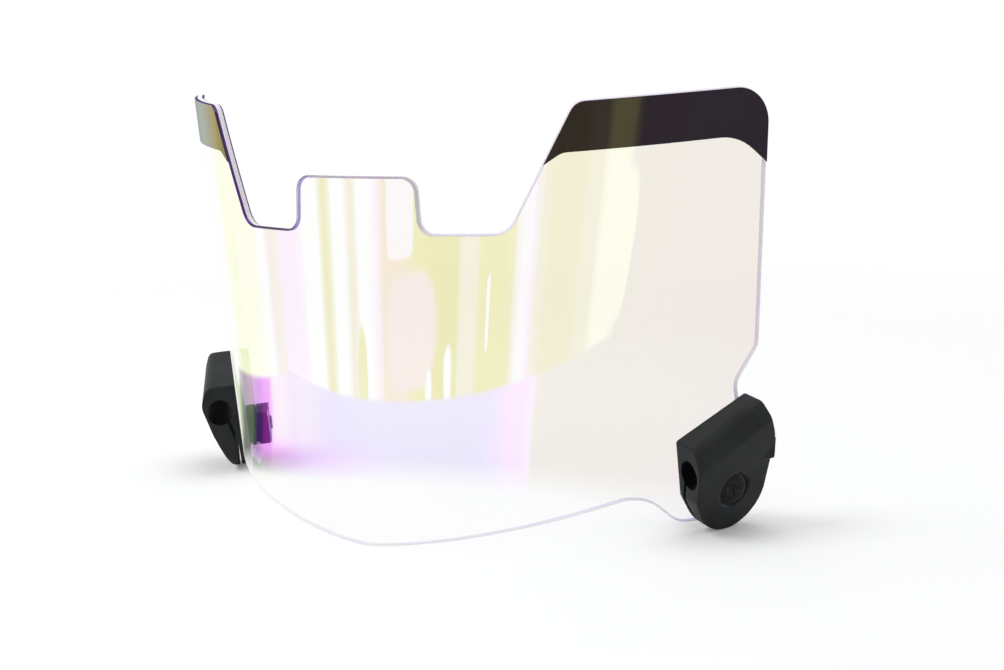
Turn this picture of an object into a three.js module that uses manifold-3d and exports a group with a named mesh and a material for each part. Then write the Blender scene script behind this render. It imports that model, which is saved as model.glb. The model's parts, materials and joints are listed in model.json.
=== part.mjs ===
// Football visor: one clear bent lens with two raised wings, held to the bars of a face mask by two clips.
// Millimetres. +X is the wearer's left, +Y is to the rear, +Z is up, and the wearer looks along -Y.
// The origin lies on the floor under the lens's middle, half way between the front and the rear of the visor,
// which stands on its lower edge and its clips.

import * as THREE from "three";
import { mergeVertices } from "three/addons/utils/BufferGeometryUtils.js";
import Module from "manifold-3d";

const wasm = await Module();
wasm.setup();
const { degToRad } = THREE.MathUtils;

// The lens sheet. A level cut through it is an arc with a straight wing at each end, and the cut grows
// with height as on a cone, so that the wings lean out. Along the sheet, reach is the distance from its
// middle line and height is the distance above the floor.
const lensThickness = 2.6;
const frontRadius = 93.9;
const frontHalfAngle = degToRad(52.5);
const frontRadiusHeight = 55.8;
const coneTipDepth = 448.2;

// The outline of the lens, given for its left half.
const tabHalfWidth = 19.4;
const tabFlare = 0.9;
const tabHeight = 104.5;
const tabCornerRadius = 4.5;
const notchHeight = 89.2;
const notchInnerRadius = 4;
const notchReach = 44;
const notchOuterRadius = 7;
const slantAngle = degToRad(62.2);
const wingReach = 120;
const wingHeight = 126.9;
const wingTopAngle = degToRad(3.2);
const wingFrontRadius = 5;
const wingRearRadius = 10;
const wingHeelHeight = 53.2;
const wingHeelRadius = 4;
const neckInset = 7;
const neckReach = wingReach - neckInset;
const neckHeight = 42.8;
const neckRadius = 5;
const archHeight = 11.9;

// Handles of the lower edge's curves, as shares of the arch's reach and height and of its foot's length.
const riseHandleShares = [0.2, 0.04, 0.9, 0.95];
const fallHandleShares = [0.62, 0.6];

// The screw that holds each clip, and the tab of the lens round it. The arch ends a lead before the screw.
const screwInset = 11.6;
const screwReach = wingReach - screwInset;
const screwHeight = 13.4;
const mountTabRadius = 11.1;
const lensHoleDiameter = 8;
const archFootLead = 10;
const archFallLength = 22;

// The printed band at the top of each wing.
const bandDrop = 13.2;
const bandFrontDrop = 16.6;
const bandFrontLength = 5;
const bandRearDrop = 21.2;
const bandRearLength = 9.5;
const bandMargin = 0.7;
const bandBendRadius = 16;
const bandThickness = 0.3;

// The clip. Its bore takes a bar of the mask and climbs to the rear. Stand-offs are distances out of the
// lens, taken at the front of the clip: the bore and the outer face both draw in a little to the rear.
const barAngle = degToRad(27.5);
const boreDiameter = 7.8;
const boreHeight = 12.6;
const boreStandOff = 6.5;
const boreTaperAngle = degToRad(2.5);
const clipFootRadius = 13.1;
const clipRearSide = 12.4;
const boreCoverThickness = 4.2;
const clipRearReach = 18;
const clipShoulderRadius = 9;
const clipFrontReach = 14.3;
const clipFrontAngle = degToRad(188);
const clipChinAngle = degToRad(210);
const clipEdgeRadius = 1;
const clipChinRadius = 4;
const clipStandOff = 0.6;
const clipFaceStandOff = 7.9;
const clipFaceAngle = degToRad(17);
const clipFaceTaperAngle = degToRad(4);
const clipBulgeRise = 2.2;
const clipBulgeRadius = 4.5;
const clipTopDepth = 10.3;
const clipTopRadius = 3;
const slitWidth = 0.8;
const slitStandOff = 2.4;
const slitBendHeight = 3.2;
const slitTopStandOff = 4.2;
const slitTopHeight = 9.8;
const lugWidth = 3.6;
const lugTall = 6.6;
const lugOverhang = 0.7;
const lugHeight = 11.2;
const lugStandOff = 5.8;
const lugEdgeRadius = 0.6;
const recessDiameter = 11.1;

// How far each clip is swivelled on its screw as the visor stands.
const leftSwivel = 0;
const rightSwivel = degToRad(10);

// The screw and what it passes through, from the head to the nut.
const screwDiameter = 4.8;
const screwTailLength = 0.7;
const headDiameter = 9;
const headThickness = 2;
const headRimThickness = 0.8;
const crossLength = 4.8;
const crossWidth = 1.1;
const crossDepth = 1.3;
const jawThickness = 1.4;
const screwWasherThickness = 0.5;
const screwWasherDiameter = 10;
const padDiameter = 13;
const padThickness = 1;
const nutPlateLength = 17;
const nutPlateWidth = 11;
const nutPlateThickness = 3.8;
const nutPlateCornerRadius = 1.5;
const nutFloorThickness = 1.2;
const nutSide = 8;
const nutThickness = 2.7;

// Clearances, and how far a cut runs past what it cuts.
const seatGap = 0.1;
const turnGap = 0.3;
const overrun = 2;

// A corner of an outline that lies nearer than this to a line of the bend is moved onto it.
const bendSnap = 0.02;

// How finely arcs and the bent front are divided.
const arcStep = degToRad(14);
const bendSteps = 36;
const edgeSteps = 12;
const roundSides = 32;

// Outlines

const at = (x, y, radius = 0) => Object.assign(new THREE.Vector2(x, y), { radius });

// The point where two straight lines meet, each given by a point on it and its angle.
function meet(first, firstAngle, second, secondAngle) {
  const along = new THREE.Vector2(Math.cos(firstAngle), Math.sin(firstAngle));
  const across = new THREE.Vector2(-Math.sin(secondAngle), Math.cos(secondAngle));
  const between = second.clone().sub(first);
  return first.clone().addScaledVector(along, between.dot(across) / along.dot(across));
}

// The points of a closed outline, with an arc at each corner that has a radius.
function roundedLoop(corners) {
  return corners.flatMap((corner, i) => {
    if (!corner.radius) return [new THREE.Vector2(corner.x, corner.y)];
    const before = corners.at(i - 1).clone().sub(corner).normalize();
    const after = corners[(i + 1) % corners.length].clone().sub(corner).normalize();
    const halfAngle = Math.acos(THREE.MathUtils.clamp(before.dot(after), -1, 1)) / 2;
    const middle = before.clone().add(after).normalize();
    const centre = corner.clone().addScaledVector(middle, corner.radius / Math.sin(halfAngle));
    const start = corner.clone().addScaledVector(before, corner.radius / Math.tan(halfAngle)).sub(centre);
    const turn = Math.sign(after.cross(before)) * (Math.PI - 2 * halfAngle);
    const steps = Math.max(1, Math.ceil(Math.abs(turn) / arcStep));
    const origin = new THREE.Vector2();
    return Array.from({ length: steps + 1 }, (_, k) =>
      start.clone().rotateAround(origin, (turn * k) / steps).add(centre),
    );
  });
}

// The corners where straight sides meet, each side given by the angle it faces and its distance from 0.
function sidesToCorners(sides) {
  return sides.map((side, i) => {
    const next = sides[(i + 1) % sides.length];
    const foot = ({ faces, distance }) => at(distance * Math.cos(faces), distance * Math.sin(faces));
    const quarter = Math.PI / 2;
    const corner = meet(foot(side), side.faces + quarter, foot(next), next.faces + quarter);
    return at(corner.x, corner.y, side.nextRadius);
  });
}

// Solids

function solidFrom(geometry) {
  const bare = geometry.index ? geometry.toNonIndexed() : geometry.clone();
  bare.deleteAttribute("normal");
  bare.deleteAttribute("uv");
  const merged = mergeVertices(bare);
  const vertProperties = new Float32Array(merged.attributes.position.array);
  const triVerts = new Uint32Array(merged.index.array);
  return new wasm.Manifold(new wasm.Mesh({ numProp: 3, vertProperties, triVerts }));
}

function geometryFrom(solid) {
  const mesh = solid.getMesh();
  const geometry = new THREE.BufferGeometry();
  geometry.setAttribute("position", new THREE.BufferAttribute(new Float32Array(mesh.vertProperties), 3));
  geometry.setIndex(new THREE.BufferAttribute(new Uint32Array(mesh.triVerts), 1));
  return geometry;
}

// A straight prism from z = low to z = high, on an outline in X and Y.
function prism(points, low, high) {
  const options = { depth: high - low, bevelEnabled: false, steps: 1 };
  return new THREE.ExtrudeGeometry(new THREE.Shape(points), options).translate(0, 0, low);
}

// A turned solid on the Z axis, from pairs of radius and height that begin and end on the axis.
function turned(profile) {
  const points = profile.map(([radius, height]) => new THREE.Vector2(radius, height));
  return new THREE.LatheGeometry(points, roundSides).rotateX(Math.PI / 2);
}

function rod(diameter, low, high) {
  return turned([[0, low], [diameter / 2, low], [diameter / 2, high], [0, high]]);
}

function block(width, tall, low, high) {
  return new THREE.BoxGeometry(width, tall, high - low).translate(0, 0, (low + high) / 2);
}

function ring(outer, inner, low, high) {
  const hole = solidFrom(rod(inner, low - overrun, high + overrun));
  return geometryFrom(solidFrom(rod(outer, low, high)).subtract(hole));
}

// A mirror image in X, with its faces turned back out.
function mirrored(geometry) {
  const image = geometry.clone().scale(-1, 1, 1);
  const index = image.index.array;
  for (let i = 0; i < index.length; i += 3) [index[i], index[i + 1]] = [index[i + 1], index[i]];
  return image;
}

// The bent sheet

const arcLength = frontRadius * frontHalfAngle;
const growth = (height) => 1 + (height - frontRadiusHeight) / coneTipDepth;

// The place and the directions of the sheet's outer face at a reach and a height: along it to the rear
// (or to the left, on the front), up it, and out of it.
function sheetFrame(reach, height) {
  const side = reach < 0 ? -1 : 1;
  const scale = growth(height);
  const run = Math.abs(reach) / scale;
  const angle = Math.min(run, arcLength) / frontRadius;
  const straight = Math.max(run - arcLength, 0);
  const flatX = frontRadius * Math.sin(angle) + straight * Math.cos(angle);
  const flatY = frontRadius * (1 - Math.cos(angle)) + straight * Math.sin(angle);
  const along = new THREE.Vector3(Math.cos(angle), side * Math.sin(angle), 0);
  const climb = new THREE.Vector3((side * flatX) / coneTipDepth, flatY / coneTipDepth, 1);
  const out = along.clone().cross(climb).normalize();
  const up = out.clone().cross(along);
  return { place: new THREE.Vector3(side * flatX * scale, flatY * scale, height), along, up, out };
}

function onSheet(point, offset) {
  const { place, out } = sheetFrame(point.x, point.y);
  return place.addScaledVector(out, offset);
}

// A closed outline with a corner added wherever it crosses one of the bend's lines. A line is given by its
// run, the reach at which it crosses the height of the front radius.
function splitAtLines(loop, runs) {
  const snapped = loop.map((point) => {
    const near = runs.find((run) => Math.abs(point.x - run * growth(point.y)) < bendSnap);
    return near === undefined ? point : at(near * growth(point.y), point.y);
  });
  return snapped.flatMap((point, i) => {
    const next = snapped[(i + 1) % snapped.length];
    const shares = runs.map((run) => {
      const here = point.x - run * growth(point.y);
      const there = next.x - run * growth(next.y);
      return here * there < 0 ? here / (here - there) : 0;
    });
    const crossed = shares.filter((share) => share > 0).sort((a, b) => a - b);
    return [point, ...crossed.map((share) => point.clone().lerp(next, share))];
  });
}

// A solid sheet between two offsets from the outer face. Its outline is cut along straight lines of the
// cone, so that each strip of the front is one flat facet and each wing is one flat piece.
function sheetSolid(loop, holes, outer, inner) {
  const runs = Array.from({ length: bendSteps + 1 }, (_, i) => arcLength * ((2 * i) / bendSteps - 1));
  const split = splitAtLines(loop, runs);
  const strips = [-Infinity, ...runs].map((low, i) => {
    const high = runs[i] ?? Infinity;
    const within = (point, slack) => {
      const run = point.x / growth(point.y);
      return run > low - slack && run < high + slack;
    };
    return {
      strip: split.filter((point) => within(point, bendSnap / 2)),
      inside: holes.filter((hole) => within(hole[0], 0)),
    };
  });
  const corners = [];
  const numbers = new Map();
  const numberOf = (point) => {
    if (!numbers.has(point)) numbers.set(point, corners.push(point) - 1);
    return numbers.get(point);
  };
  const triangles = [];
  for (const { strip, inside } of strips.filter((part) => part.strip.length > 2)) {
    const points = [strip, ...inside].flat();
    for (const [a, b, c] of THREE.ShapeUtils.triangulateShape(strip, inside)) {
      const side = points[b].clone().sub(points[a]).cross(points[c].clone().sub(points[a]));
      const order = side > 0 ? [a, b, c] : [a, c, b];
      triangles.push(order.map((i) => numberOf(points[i])));
    }
  }
  return thickened(corners, triangles, outer, inner);
}

// The faces, inner faces and edge walls of a sheet whose outer face is given as flat triangles.
function thickened(corners, triangles, outer, inner) {
  const count = corners.length;
  const positions = [outer, inner].flatMap((offset) =>
    corners.flatMap((point) => onSheet(point, offset).toArray()),
  );
  const edges = new Map();
  for (const [a, b, c] of triangles) {
    for (const [from, to] of [[a, b], [b, c], [c, a]]) edges.set(`${from} ${to}`, [from, to]);
  }
  const border = [...edges.values()].filter(([from, to]) => !edges.has(`${to} ${from}`));
  const outerFaces = triangles.flat();
  const innerFaces = triangles.flatMap(([a, b, c]) => [a + count, c + count, b + count]);
  const walls = border.flatMap(([from, to]) => [
    ...[to, from, from + count],
    ...[to, from + count, to + count],
  ]);
  const geometry = new THREE.BufferGeometry();
  geometry.setAttribute("position", new THREE.Float32BufferAttribute(positions, 3));
  geometry.setIndex([...outerFaces, ...innerFaces, ...walls]);
  return geometry;
}

// The lens

const archFootReach = screwReach - archFootLead;
const archReach = archFootReach - archFallLength;
const wingRearTop = at(wingReach, wingHeight, wingRearRadius);
const notchOuter = at(notchReach, notchHeight, notchOuterRadius);
const wingFrontTop = meet(notchOuter, slantAngle, wingRearTop, wingTopAngle);

// The lower edge from the middle of the front, over the arch, to the foot of the mounting tab.
function lowerEdge() {
  const [riseX, riseY, topX, topY] = riseHandleShares;
  const [fallOut, fallIn] = fallHandleShares;
  const footHeight = screwHeight - mountTabRadius;
  const rise = new THREE.CubicBezierCurve(
    at(0, 0),
    at(archReach * riseX, archHeight * riseY),
    at(archReach * topX, archHeight * topY),
    at(archReach, archHeight),
  );
  const fall = new THREE.CubicBezierCurve(
    at(archReach, archHeight),
    at(archReach + archFallLength * fallOut, archHeight),
    at(archReach + archFallLength * fallIn, footHeight),
    at(archFootReach, footHeight),
  );
  return [...rise.getPoints(edgeSteps).slice(1), ...fall.getPoints(edgeSteps).slice(1)];
}

function lensOutline() {
  const leftHalf = [
    ...lowerEdge(),
    at(screwReach + mountTabRadius, screwHeight - mountTabRadius, mountTabRadius),
    at(neckReach, neckHeight, neckRadius),
    at(wingReach, wingHeelHeight, wingHeelRadius),
    wingRearTop,
    at(wingFrontTop.x, wingFrontTop.y, wingFrontRadius),
    notchOuter,
    at(tabHalfWidth + tabFlare, notchHeight, notchInnerRadius),
    at(tabHalfWidth, tabHeight, tabCornerRadius),
  ];
  const rightHalf = leftHalf.map((corner) => at(-corner.x, corner.y, corner.radius)).reverse();
  return roundedLoop([at(0, 0), ...leftHalf, ...rightHalf]);
}

// The hole for one screw, round in the plane of the wing and written in reach and height.
function screwHole(side) {
  const { up } = sheetFrame(screwReach, screwHeight);
  const lag = frontRadius * (frontHalfAngle - Math.sin(frontHalfAngle));
  return Array.from({ length: roundSides }, (_, i) => {
    const angle = (2 * Math.PI * i) / roundSides;
    const height = screwHeight + (lensHoleDiameter / 2) * Math.sin(angle) * up.z;
    const drift = lag * (growth(height) - growth(screwHeight));
    return at(side * (screwReach + (lensHoleDiameter / 2) * Math.cos(angle) + drift), height);
  });
}

const lens = () => sheetSolid(lensOutline(), [screwHole(1), screwHole(-1)], 0, -lensThickness);

// The printed band follows the wing's slanted, top and rear edges inside a narrow clear margin.
function bandOutline(side) {
  const edgeHeight = (reach) => wingHeight - (wingReach - reach) * Math.tan(wingTopAngle);
  const below = (reach, drop) => edgeHeight(reach) - drop;
  const rear = wingReach - bandMargin;
  const margin = bandMargin / Math.sin(slantAngle);
  const slantFoot = at(notchReach + margin, notchHeight);
  const topStart = at(rear, below(rear, bandMargin));
  const frontTop = meet(slantFoot, slantAngle, topStart, wingTopAngle);
  const tip = meet(slantFoot, slantAngle, at(0, below(wingFrontTop.x, bandFrontDrop)), 0);
  const frontBend = tip.x + bandFrontLength;
  const rearBend = rear - bandRearLength;
  const corners = [
    at(tip.x, tip.y),
    at(frontBend, below(frontBend, bandDrop), bandFrontLength),
    at(rearBend, below(rearBend, bandDrop), bandBendRadius),
    at(rear, below(rear, bandRearDrop)),
    at(rear, topStart.y, wingRearRadius - bandMargin),
    at(frontTop.x, frontTop.y, wingFrontRadius - bandMargin),
  ];
  const placed = corners.map((corner) => at(side * corner.x, corner.y, corner.radius));
  return roundedLoop(side > 0 ? placed : placed.reverse());
}

const band = (side) => sheetSolid(bandOutline(side), [], bandThickness + seatGap, seatGap);

// The clip and its screw stack. Their own frame has its origin on the outer face of the lens at the
// screw: X along the wing to the rear, Y up the wing, Z out of the lens. The left side is made, and the
// right side is its mirror image.

const clipTopHeight = boreHeight + boreDiameter / 2 + boreCoverThickness;
const clipBulgeHeight = boreHeight + clipBulgeRise;
const padOuterFace = padThickness + seatGap;
const recessSeat = slitStandOff + slitWidth / 2 + jawThickness;
const headSeat = recessSeat + seatGap + screwWasherThickness + seatGap;
const innerPadFace = -lensThickness - seatGap;
const plateFace = innerPadFace - padThickness - seatGap;
const plateInnerFace = plateFace - nutPlateThickness;
const nutFace = plateFace - nutFloorThickness - seatGap;
const nutInnerFace = nutFace - nutThickness;
const shankHoleDiameter = screwDiameter + 2 * turnGap;

// The outline of the clip as seen from outside: a round foot about the screw, a chin, a front face, a
// top face along the bar and a rear face square to it.
function clipSideOutline() {
  const quarter = Math.PI / 2;
  return roundedLoop(
    sidesToCorners([
      { faces: -quarter, distance: clipFootRadius, nextRadius: clipRearSide },
      { faces: 0, distance: clipRearSide, nextRadius: clipShoulderRadius },
      { faces: barAngle, distance: clipRearReach, nextRadius: clipEdgeRadius },
      { faces: barAngle + quarter, distance: clipTopHeight, nextRadius: clipEdgeRadius },
      { faces: clipFrontAngle, distance: clipFrontReach, nextRadius: clipChinRadius },
      { faces: clipChinAngle, distance: clipFootRadius, nextRadius: clipFootRadius },
    ]),
  );
}

const clipFaceAt = (height) => clipFaceStandOff + height * Math.tan(clipFaceAngle);
const clipFoot = -clipFootRadius - overrun;
const clipLength = clipRearReach + clipFootRadius + overrun;

// Where the middle of the bore's front end lies along the bar.
const boreFront = (boreHeight * Math.sin(barAngle) - clipFrontReach) / Math.cos(barAngle);

// Sections of the clip across the bar: X is the height across the bar, Y the distance from the lens.
// The inner one is straight and holds the inner face, the outer one draws in to the rear.
function innerSection() {
  return [
    at(clipFoot, clipStandOff),
    at(clipTopHeight + overrun, clipStandOff),
    at(clipTopHeight + overrun, clipFaceAt(clipTopHeight)),
    at(clipFoot, clipFaceAt(clipTopHeight)),
  ];
}

function outerSection() {
  return roundedLoop([
    at(clipFoot, -clipTopHeight),
    at(clipTopHeight, -clipTopHeight),
    at(clipTopHeight, clipTopDepth, clipTopRadius),
    at(clipBulgeHeight, clipFaceAt(clipBulgeHeight), clipBulgeRadius),
    at(clipFoot, clipFaceAt(clipFoot)),
  ]);
}

// A prism along the bar, from an outline in the section's own X and Y. A taper turns it towards the
// lens at its rear, about the front end of the bore.
function alongBar(points, taper = 0) {
  const axis = new THREE.Vector3(Math.cos(barAngle), Math.sin(barAngle), 0);
  const across = new THREE.Vector3(-Math.sin(barAngle), Math.cos(barAngle), 0);
  const front = axis.clone().multiplyScalar(boreFront);
  return prism(points, -clipLength - boreFront, clipLength - boreFront)
    .applyMatrix4(new THREE.Matrix4().makeBasis(across, new THREE.Vector3(0, 0, 1), axis))
    .applyMatrix4(new THREE.Matrix4().makeRotationAxis(across, taper))
    .translate(...front);
}

function circle(x, y, diameter) {
  return Array.from({ length: roundSides }, (_, i) => {
    const angle = (2 * Math.PI * i) / roundSides;
    return at(x + (diameter / 2) * Math.cos(angle), y + (diameter / 2) * Math.sin(angle));
  });
}

// The slit runs from the bore down between the two jaws and out at the foot.
function slitOutline() {
  const half = slitWidth / 2;
  const lean = half / Math.cos(Math.atan2(slitTopStandOff - slitStandOff, slitTopHeight - slitBendHeight));
  return [
    at(clipFoot, slitStandOff + half),
    at(slitBendHeight, slitStandOff + half),
    at(slitTopHeight, slitTopStandOff + lean),
    at(slitTopHeight, slitTopStandOff - lean),
    at(slitBendHeight, slitStandOff - half),
    at(clipFoot, slitStandOff - half),
  ];
}

function clipLug() {
  const reach = clipRearSide + lugOverhang;
  const outline = roundedLoop([
    at(0, lugHeight - lugTall / 2),
    at(reach, lugHeight - lugTall / 2, lugEdgeRadius),
    at(reach, lugHeight + lugTall / 2, lugEdgeRadius),
    at(0, lugHeight + lugTall / 2),
  ]);
  return prism(outline, lugStandOff - lugWidth / 2, lugStandOff + lugWidth / 2);
}

function clipBody() {
  const high = clipFaceAt(clipTopHeight);
  const side = solidFrom(prism(clipSideOutline(), 0, high));
  const inner = solidFrom(alongBar(innerSection()));
  const outer = solidFrom(alongBar(outerSection(), clipFaceTaperAngle));
  const cuts = [
    alongBar(circle(boreHeight, boreStandOff, boreDiameter), boreTaperAngle),
    alongBar(slitOutline()),
    rod(shankHoleDiameter, -overrun, high),
    rod(recessDiameter, recessSeat, high),
    rod(padDiameter + 2 * turnGap, -overrun, padOuterFace + seatGap),
  ];
  const body = side.intersect(inner).intersect(outer).add(solidFrom(clipLug()));
  return geometryFrom(cuts.reduce((rest, cut) => rest.subtract(solidFrom(cut)), body));
}

function clampScrew() {
  const top = headSeat + headThickness;
  const crownShares = [0.93, 0.72, 0.4];
  const crown = crownShares.map((share) => [
    (headDiameter / 2) * share,
    headSeat + headRimThickness + (headThickness - headRimThickness) * Math.sqrt(1 - share * share),
  ]);
  const body = turned([
    [0, nutInnerFace - screwTailLength],
    [screwDiameter / 2, nutInnerFace - screwTailLength],
    [screwDiameter / 2, headSeat],
    [headDiameter / 2, headSeat],
    [headDiameter / 2, headSeat + headRimThickness],
    ...crown,
    [0, top],
  ]);
  const arm = block(crossLength, crossWidth, top - crossDepth, top + overrun);
  const across = block(crossWidth, crossLength, top - crossDepth, top + overrun);
  return geometryFrom(solidFrom(body).subtract(solidFrom(arm)).subtract(solidFrom(across)));
}

function nutPlate() {
  const halfLength = nutPlateLength / 2;
  const halfWidth = nutPlateWidth / 2;
  const outline = roundedLoop([
    at(-halfLength, -halfWidth, nutPlateCornerRadius),
    at(halfLength, -halfWidth, nutPlateCornerRadius),
    at(halfLength, halfWidth, nutPlateCornerRadius),
    at(-halfLength, halfWidth, nutPlateCornerRadius),
  ]);
  const pocketSide = nutSide + 2 * turnGap;
  const pocket = block(pocketSide, pocketSide, plateInnerFace - overrun, plateFace - nutFloorThickness);
  const hole = rod(shankHoleDiameter, plateInnerFace - overrun, plateFace + overrun);
  const plate = solidFrom(prism(outline, plateInnerFace, plateFace));
  return geometryFrom(plate.subtract(solidFrom(pocket)).subtract(solidFrom(hole)));
}

function squareNut() {
  const hole = rod(shankHoleDiameter, nutInnerFace - overrun, nutFace + overrun);
  return geometryFrom(solidFrom(block(nutSide, nutSide, nutInnerFace, nutFace)).subtract(solidFrom(hole)));
}

// Finishes

const finish = (color, roughness, metalness) => ({ color, roughness, metalness });
const clear = { ...finish(0xf4f2f6, 0.04, 0), transparent: true, opacity: 0.35 };
const print = finish(0x232323, 0.35, 0);
const nylon = finish(0x262828, 0.55, 0);
const blackSteel = finish(0x1c1c1e, 0.4, 0.8);
const zincSteel = finish(0xb9bbbe, 0.35, 0.9);
const rubber = finish(0x1b1b1b, 0.85, 0);

function piece(name, geometry, look) {
  geometry.computeVertexNormals();
  const mesh = new THREE.Mesh(geometry, new THREE.MeshStandardMaterial(look));
  mesh.name = name;
  return mesh;
}

// The pieces of one mount, as made for the left side: those that swivel with the clip, and those that
// stay on the lens.
const swivelPieces = [
  ["clip_body", clipBody(), nylon],
  ["clamp_screw", clampScrew(), blackSteel],
  [
    "screw_washer",
    ring(screwWasherDiameter, shankHoleDiameter, recessSeat + seatGap, headSeat - seatGap),
    blackSteel,
  ],
];
const fixedPieces = [
  ["outer_pad", ring(padDiameter, shankHoleDiameter, seatGap, padOuterFace), rubber],
  ["lens_bush", ring(lensHoleDiameter - 2 * turnGap, shankHoleDiameter, -lensThickness, 0), nylon],
  ["inner_pad", ring(padDiameter, shankHoleDiameter, innerPadFace - padThickness, innerPadFace), rubber],
  ["nut_plate", nutPlate(), nylon],
  ["square_nut", squareNut(), zincSteel],
];

// Assembly

function mountGroup(sideName, side, swivel) {
  const { place, along, up, out } = sheetFrame(side * screwReach, screwHeight);
  const mount = new THREE.Group();
  mount.position.copy(place);
  mount.quaternion.setFromRotationMatrix(new THREE.Matrix4().makeBasis(along, up, out));
  const turning = new THREE.Group();
  turning.rotation.z = swivel;
  mount.add(turning);
  for (const [group, pieces] of [[turning, swivelPieces], [mount, fixedPieces]]) {
    for (const [name, geometry, look] of pieces) {
      group.add(piece(`${sideName}_${name}`, side > 0 ? geometry.clone() : mirrored(geometry), look));
    }
  }
  return mount;
}

const visor = new THREE.Group();
visor.name = "football_visor";
visor.add(piece("visor_lens", lens(), clear));
for (const [sideName, side, swivel] of [["left", 1, leftSwivel], ["right", -1, rightSwivel]]) {
  visor.add(piece(`${sideName}_wing_band`, band(side), print));
  visor.add(mountGroup(sideName, side, swivel));
}

// The visor stands on the floor with its middle over the origin.
const box = new THREE.Box3().setFromObject(visor, true);
visor.position.set(0, -(box.min.y + box.max.y) / 2, -box.min.z);

export default visor;
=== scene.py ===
"""The looks of a clear football visor: coated bent lens, printed wing bands, moulded bar clips and screws.

Places are in the part's frame: +X is the wearer's left, -Y the front, +Z up. Pieces are shaped in
millimetres and settled in metres, with their place in the mesh.
"""
import json
import logging
import math
from dataclasses import dataclass
from enum import Enum
from typing import Callable, Iterable, Sequence

import bpy
from mathutils import Matrix, Vector

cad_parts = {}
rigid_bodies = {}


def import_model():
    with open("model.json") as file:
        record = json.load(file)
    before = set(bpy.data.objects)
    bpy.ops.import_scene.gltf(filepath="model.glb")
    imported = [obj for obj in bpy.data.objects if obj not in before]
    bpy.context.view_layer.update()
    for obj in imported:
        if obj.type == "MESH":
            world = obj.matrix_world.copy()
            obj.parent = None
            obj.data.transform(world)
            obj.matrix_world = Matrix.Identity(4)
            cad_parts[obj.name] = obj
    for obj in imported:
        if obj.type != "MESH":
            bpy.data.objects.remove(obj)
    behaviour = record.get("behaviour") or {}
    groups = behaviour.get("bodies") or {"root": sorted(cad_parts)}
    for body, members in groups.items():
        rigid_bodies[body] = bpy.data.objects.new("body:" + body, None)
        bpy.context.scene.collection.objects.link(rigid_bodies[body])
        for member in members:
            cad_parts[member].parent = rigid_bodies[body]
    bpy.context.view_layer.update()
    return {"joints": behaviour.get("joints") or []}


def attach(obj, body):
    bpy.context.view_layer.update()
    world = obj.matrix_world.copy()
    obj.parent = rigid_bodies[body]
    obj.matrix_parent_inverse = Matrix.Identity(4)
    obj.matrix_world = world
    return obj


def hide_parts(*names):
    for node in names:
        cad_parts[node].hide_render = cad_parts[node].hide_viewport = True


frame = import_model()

LOG = logging.getLogger("visor")
MM = 0.001
QUARTER = math.pi / 2
RING_EDGE_STEP = math.radians(30)
Point = tuple[float, float]
Corner = tuple[float, float, float]
Colour = tuple[float, float, float]
Stops = Sequence[tuple[float, Colour]]
Piece = bpy.types.Object
Socket = bpy.types.NodeSocket


class Side(Enum):
    """A side of the wearer, with its sign along X."""

    LEFT = 1
    RIGHT = -1

    @property
    def prefix(self) -> str:
        """The first word of the names of this side's pieces."""
        return self.name.lower()


# Outlines


def corner(x: float, y: float, radius: float = 0.0) -> Corner:
    """A corner of an outline, with the radius of its arc."""
    return (x, y, radius)


def meet(first: Sequence[float], first_angle: float, second: Sequence[float], second_angle: float) -> Point:
    """Finds where two straight lines meet.

    Args:
        first: A point on the first line.
        first_angle: The angle of the first line.
        second: A point on the second line.
        second_angle: The angle of the second line.

    Returns:
        The point that lies on both lines.
    """
    along = Vector((math.cos(first_angle), math.sin(first_angle)))
    across = Vector((-math.sin(second_angle), math.cos(second_angle)))
    between = Vector(second[:2]) - Vector(first[:2])
    place = Vector(first[:2]) + along * (between.dot(across) / along.dot(across))
    return (place.x, place.y)


def rounded_loop(corners: Sequence[Corner], arc_step: float = math.radians(6)) -> list[Point]:
    """Walks a closed outline, with an arc at each corner that has a radius.

    Args:
        corners: The corners in order.
        arc_step: The largest turn between two points of an arc.

    Returns:
        The points of the outline.
    """
    points: list[Point] = []
    for i, (x, y, radius) in enumerate(corners):
        here = Vector((x, y))
        if radius == 0:
            points.append((x, y))
            continue
        before = (Vector(corners[i - 1][:2]) - here).normalized()
        after = (Vector(corners[(i + 1) % len(corners)][:2]) - here).normalized()
        half = math.acos(max(-1.0, min(1.0, before.dot(after)))) / 2
        centre = here + (before + after).normalized() * (radius / math.sin(half))
        start = here + before * (radius / math.tan(half)) - centre
        turn = math.copysign(math.pi - 2 * half, after.x * before.y - after.y * before.x)
        steps = max(1, math.ceil(abs(turn) / arc_step))
        for k in range(steps + 1):
            spoke = Matrix.Rotation(turn * k / steps, 2) @ start
            points.append((centre.x + spoke.x, centre.y + spoke.y))
    return points


def divided(points: Sequence[Point], longest: float) -> list[Point]:
    """Adds points to the long sides of an outline.

    Args:
        points: The outline.
        longest: The greatest length that a side may have.

    Returns:
        The outline, with each long side in equal steps.
    """
    result: list[Point] = []
    for (x0, y0), (x1, y1) in zip(points, [*points[1:], points[0]]):
        steps = max(1, math.ceil(math.hypot(x1 - x0, y1 - y0) / longest))
        result += [(x0 + (x1 - x0) * k / steps, y0 + (y1 - y0) * k / steps) for k in range(steps)]
    return result


def sides_to_corners(sides: Sequence[tuple[float, float, float]]) -> list[Corner]:
    """Finds the corners of an outline from its straight sides.

    Args:
        sides: For each side the angle it faces, its distance from zero and the radius of its next corner.

    Returns:
        The corners, each where a side meets the next.
    """
    corners = []
    for (faces, distance, radius), (next_faces, next_distance, _) in zip(sides, [*sides[1:], sides[0]]):
        foot = (distance * math.cos(faces), distance * math.sin(faces))
        next_foot = (next_distance * math.cos(next_faces), next_distance * math.sin(next_faces))
        corners.append(corner(*meet(foot, faces + QUARTER, next_foot, next_faces + QUARTER), radius))
    return corners


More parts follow.
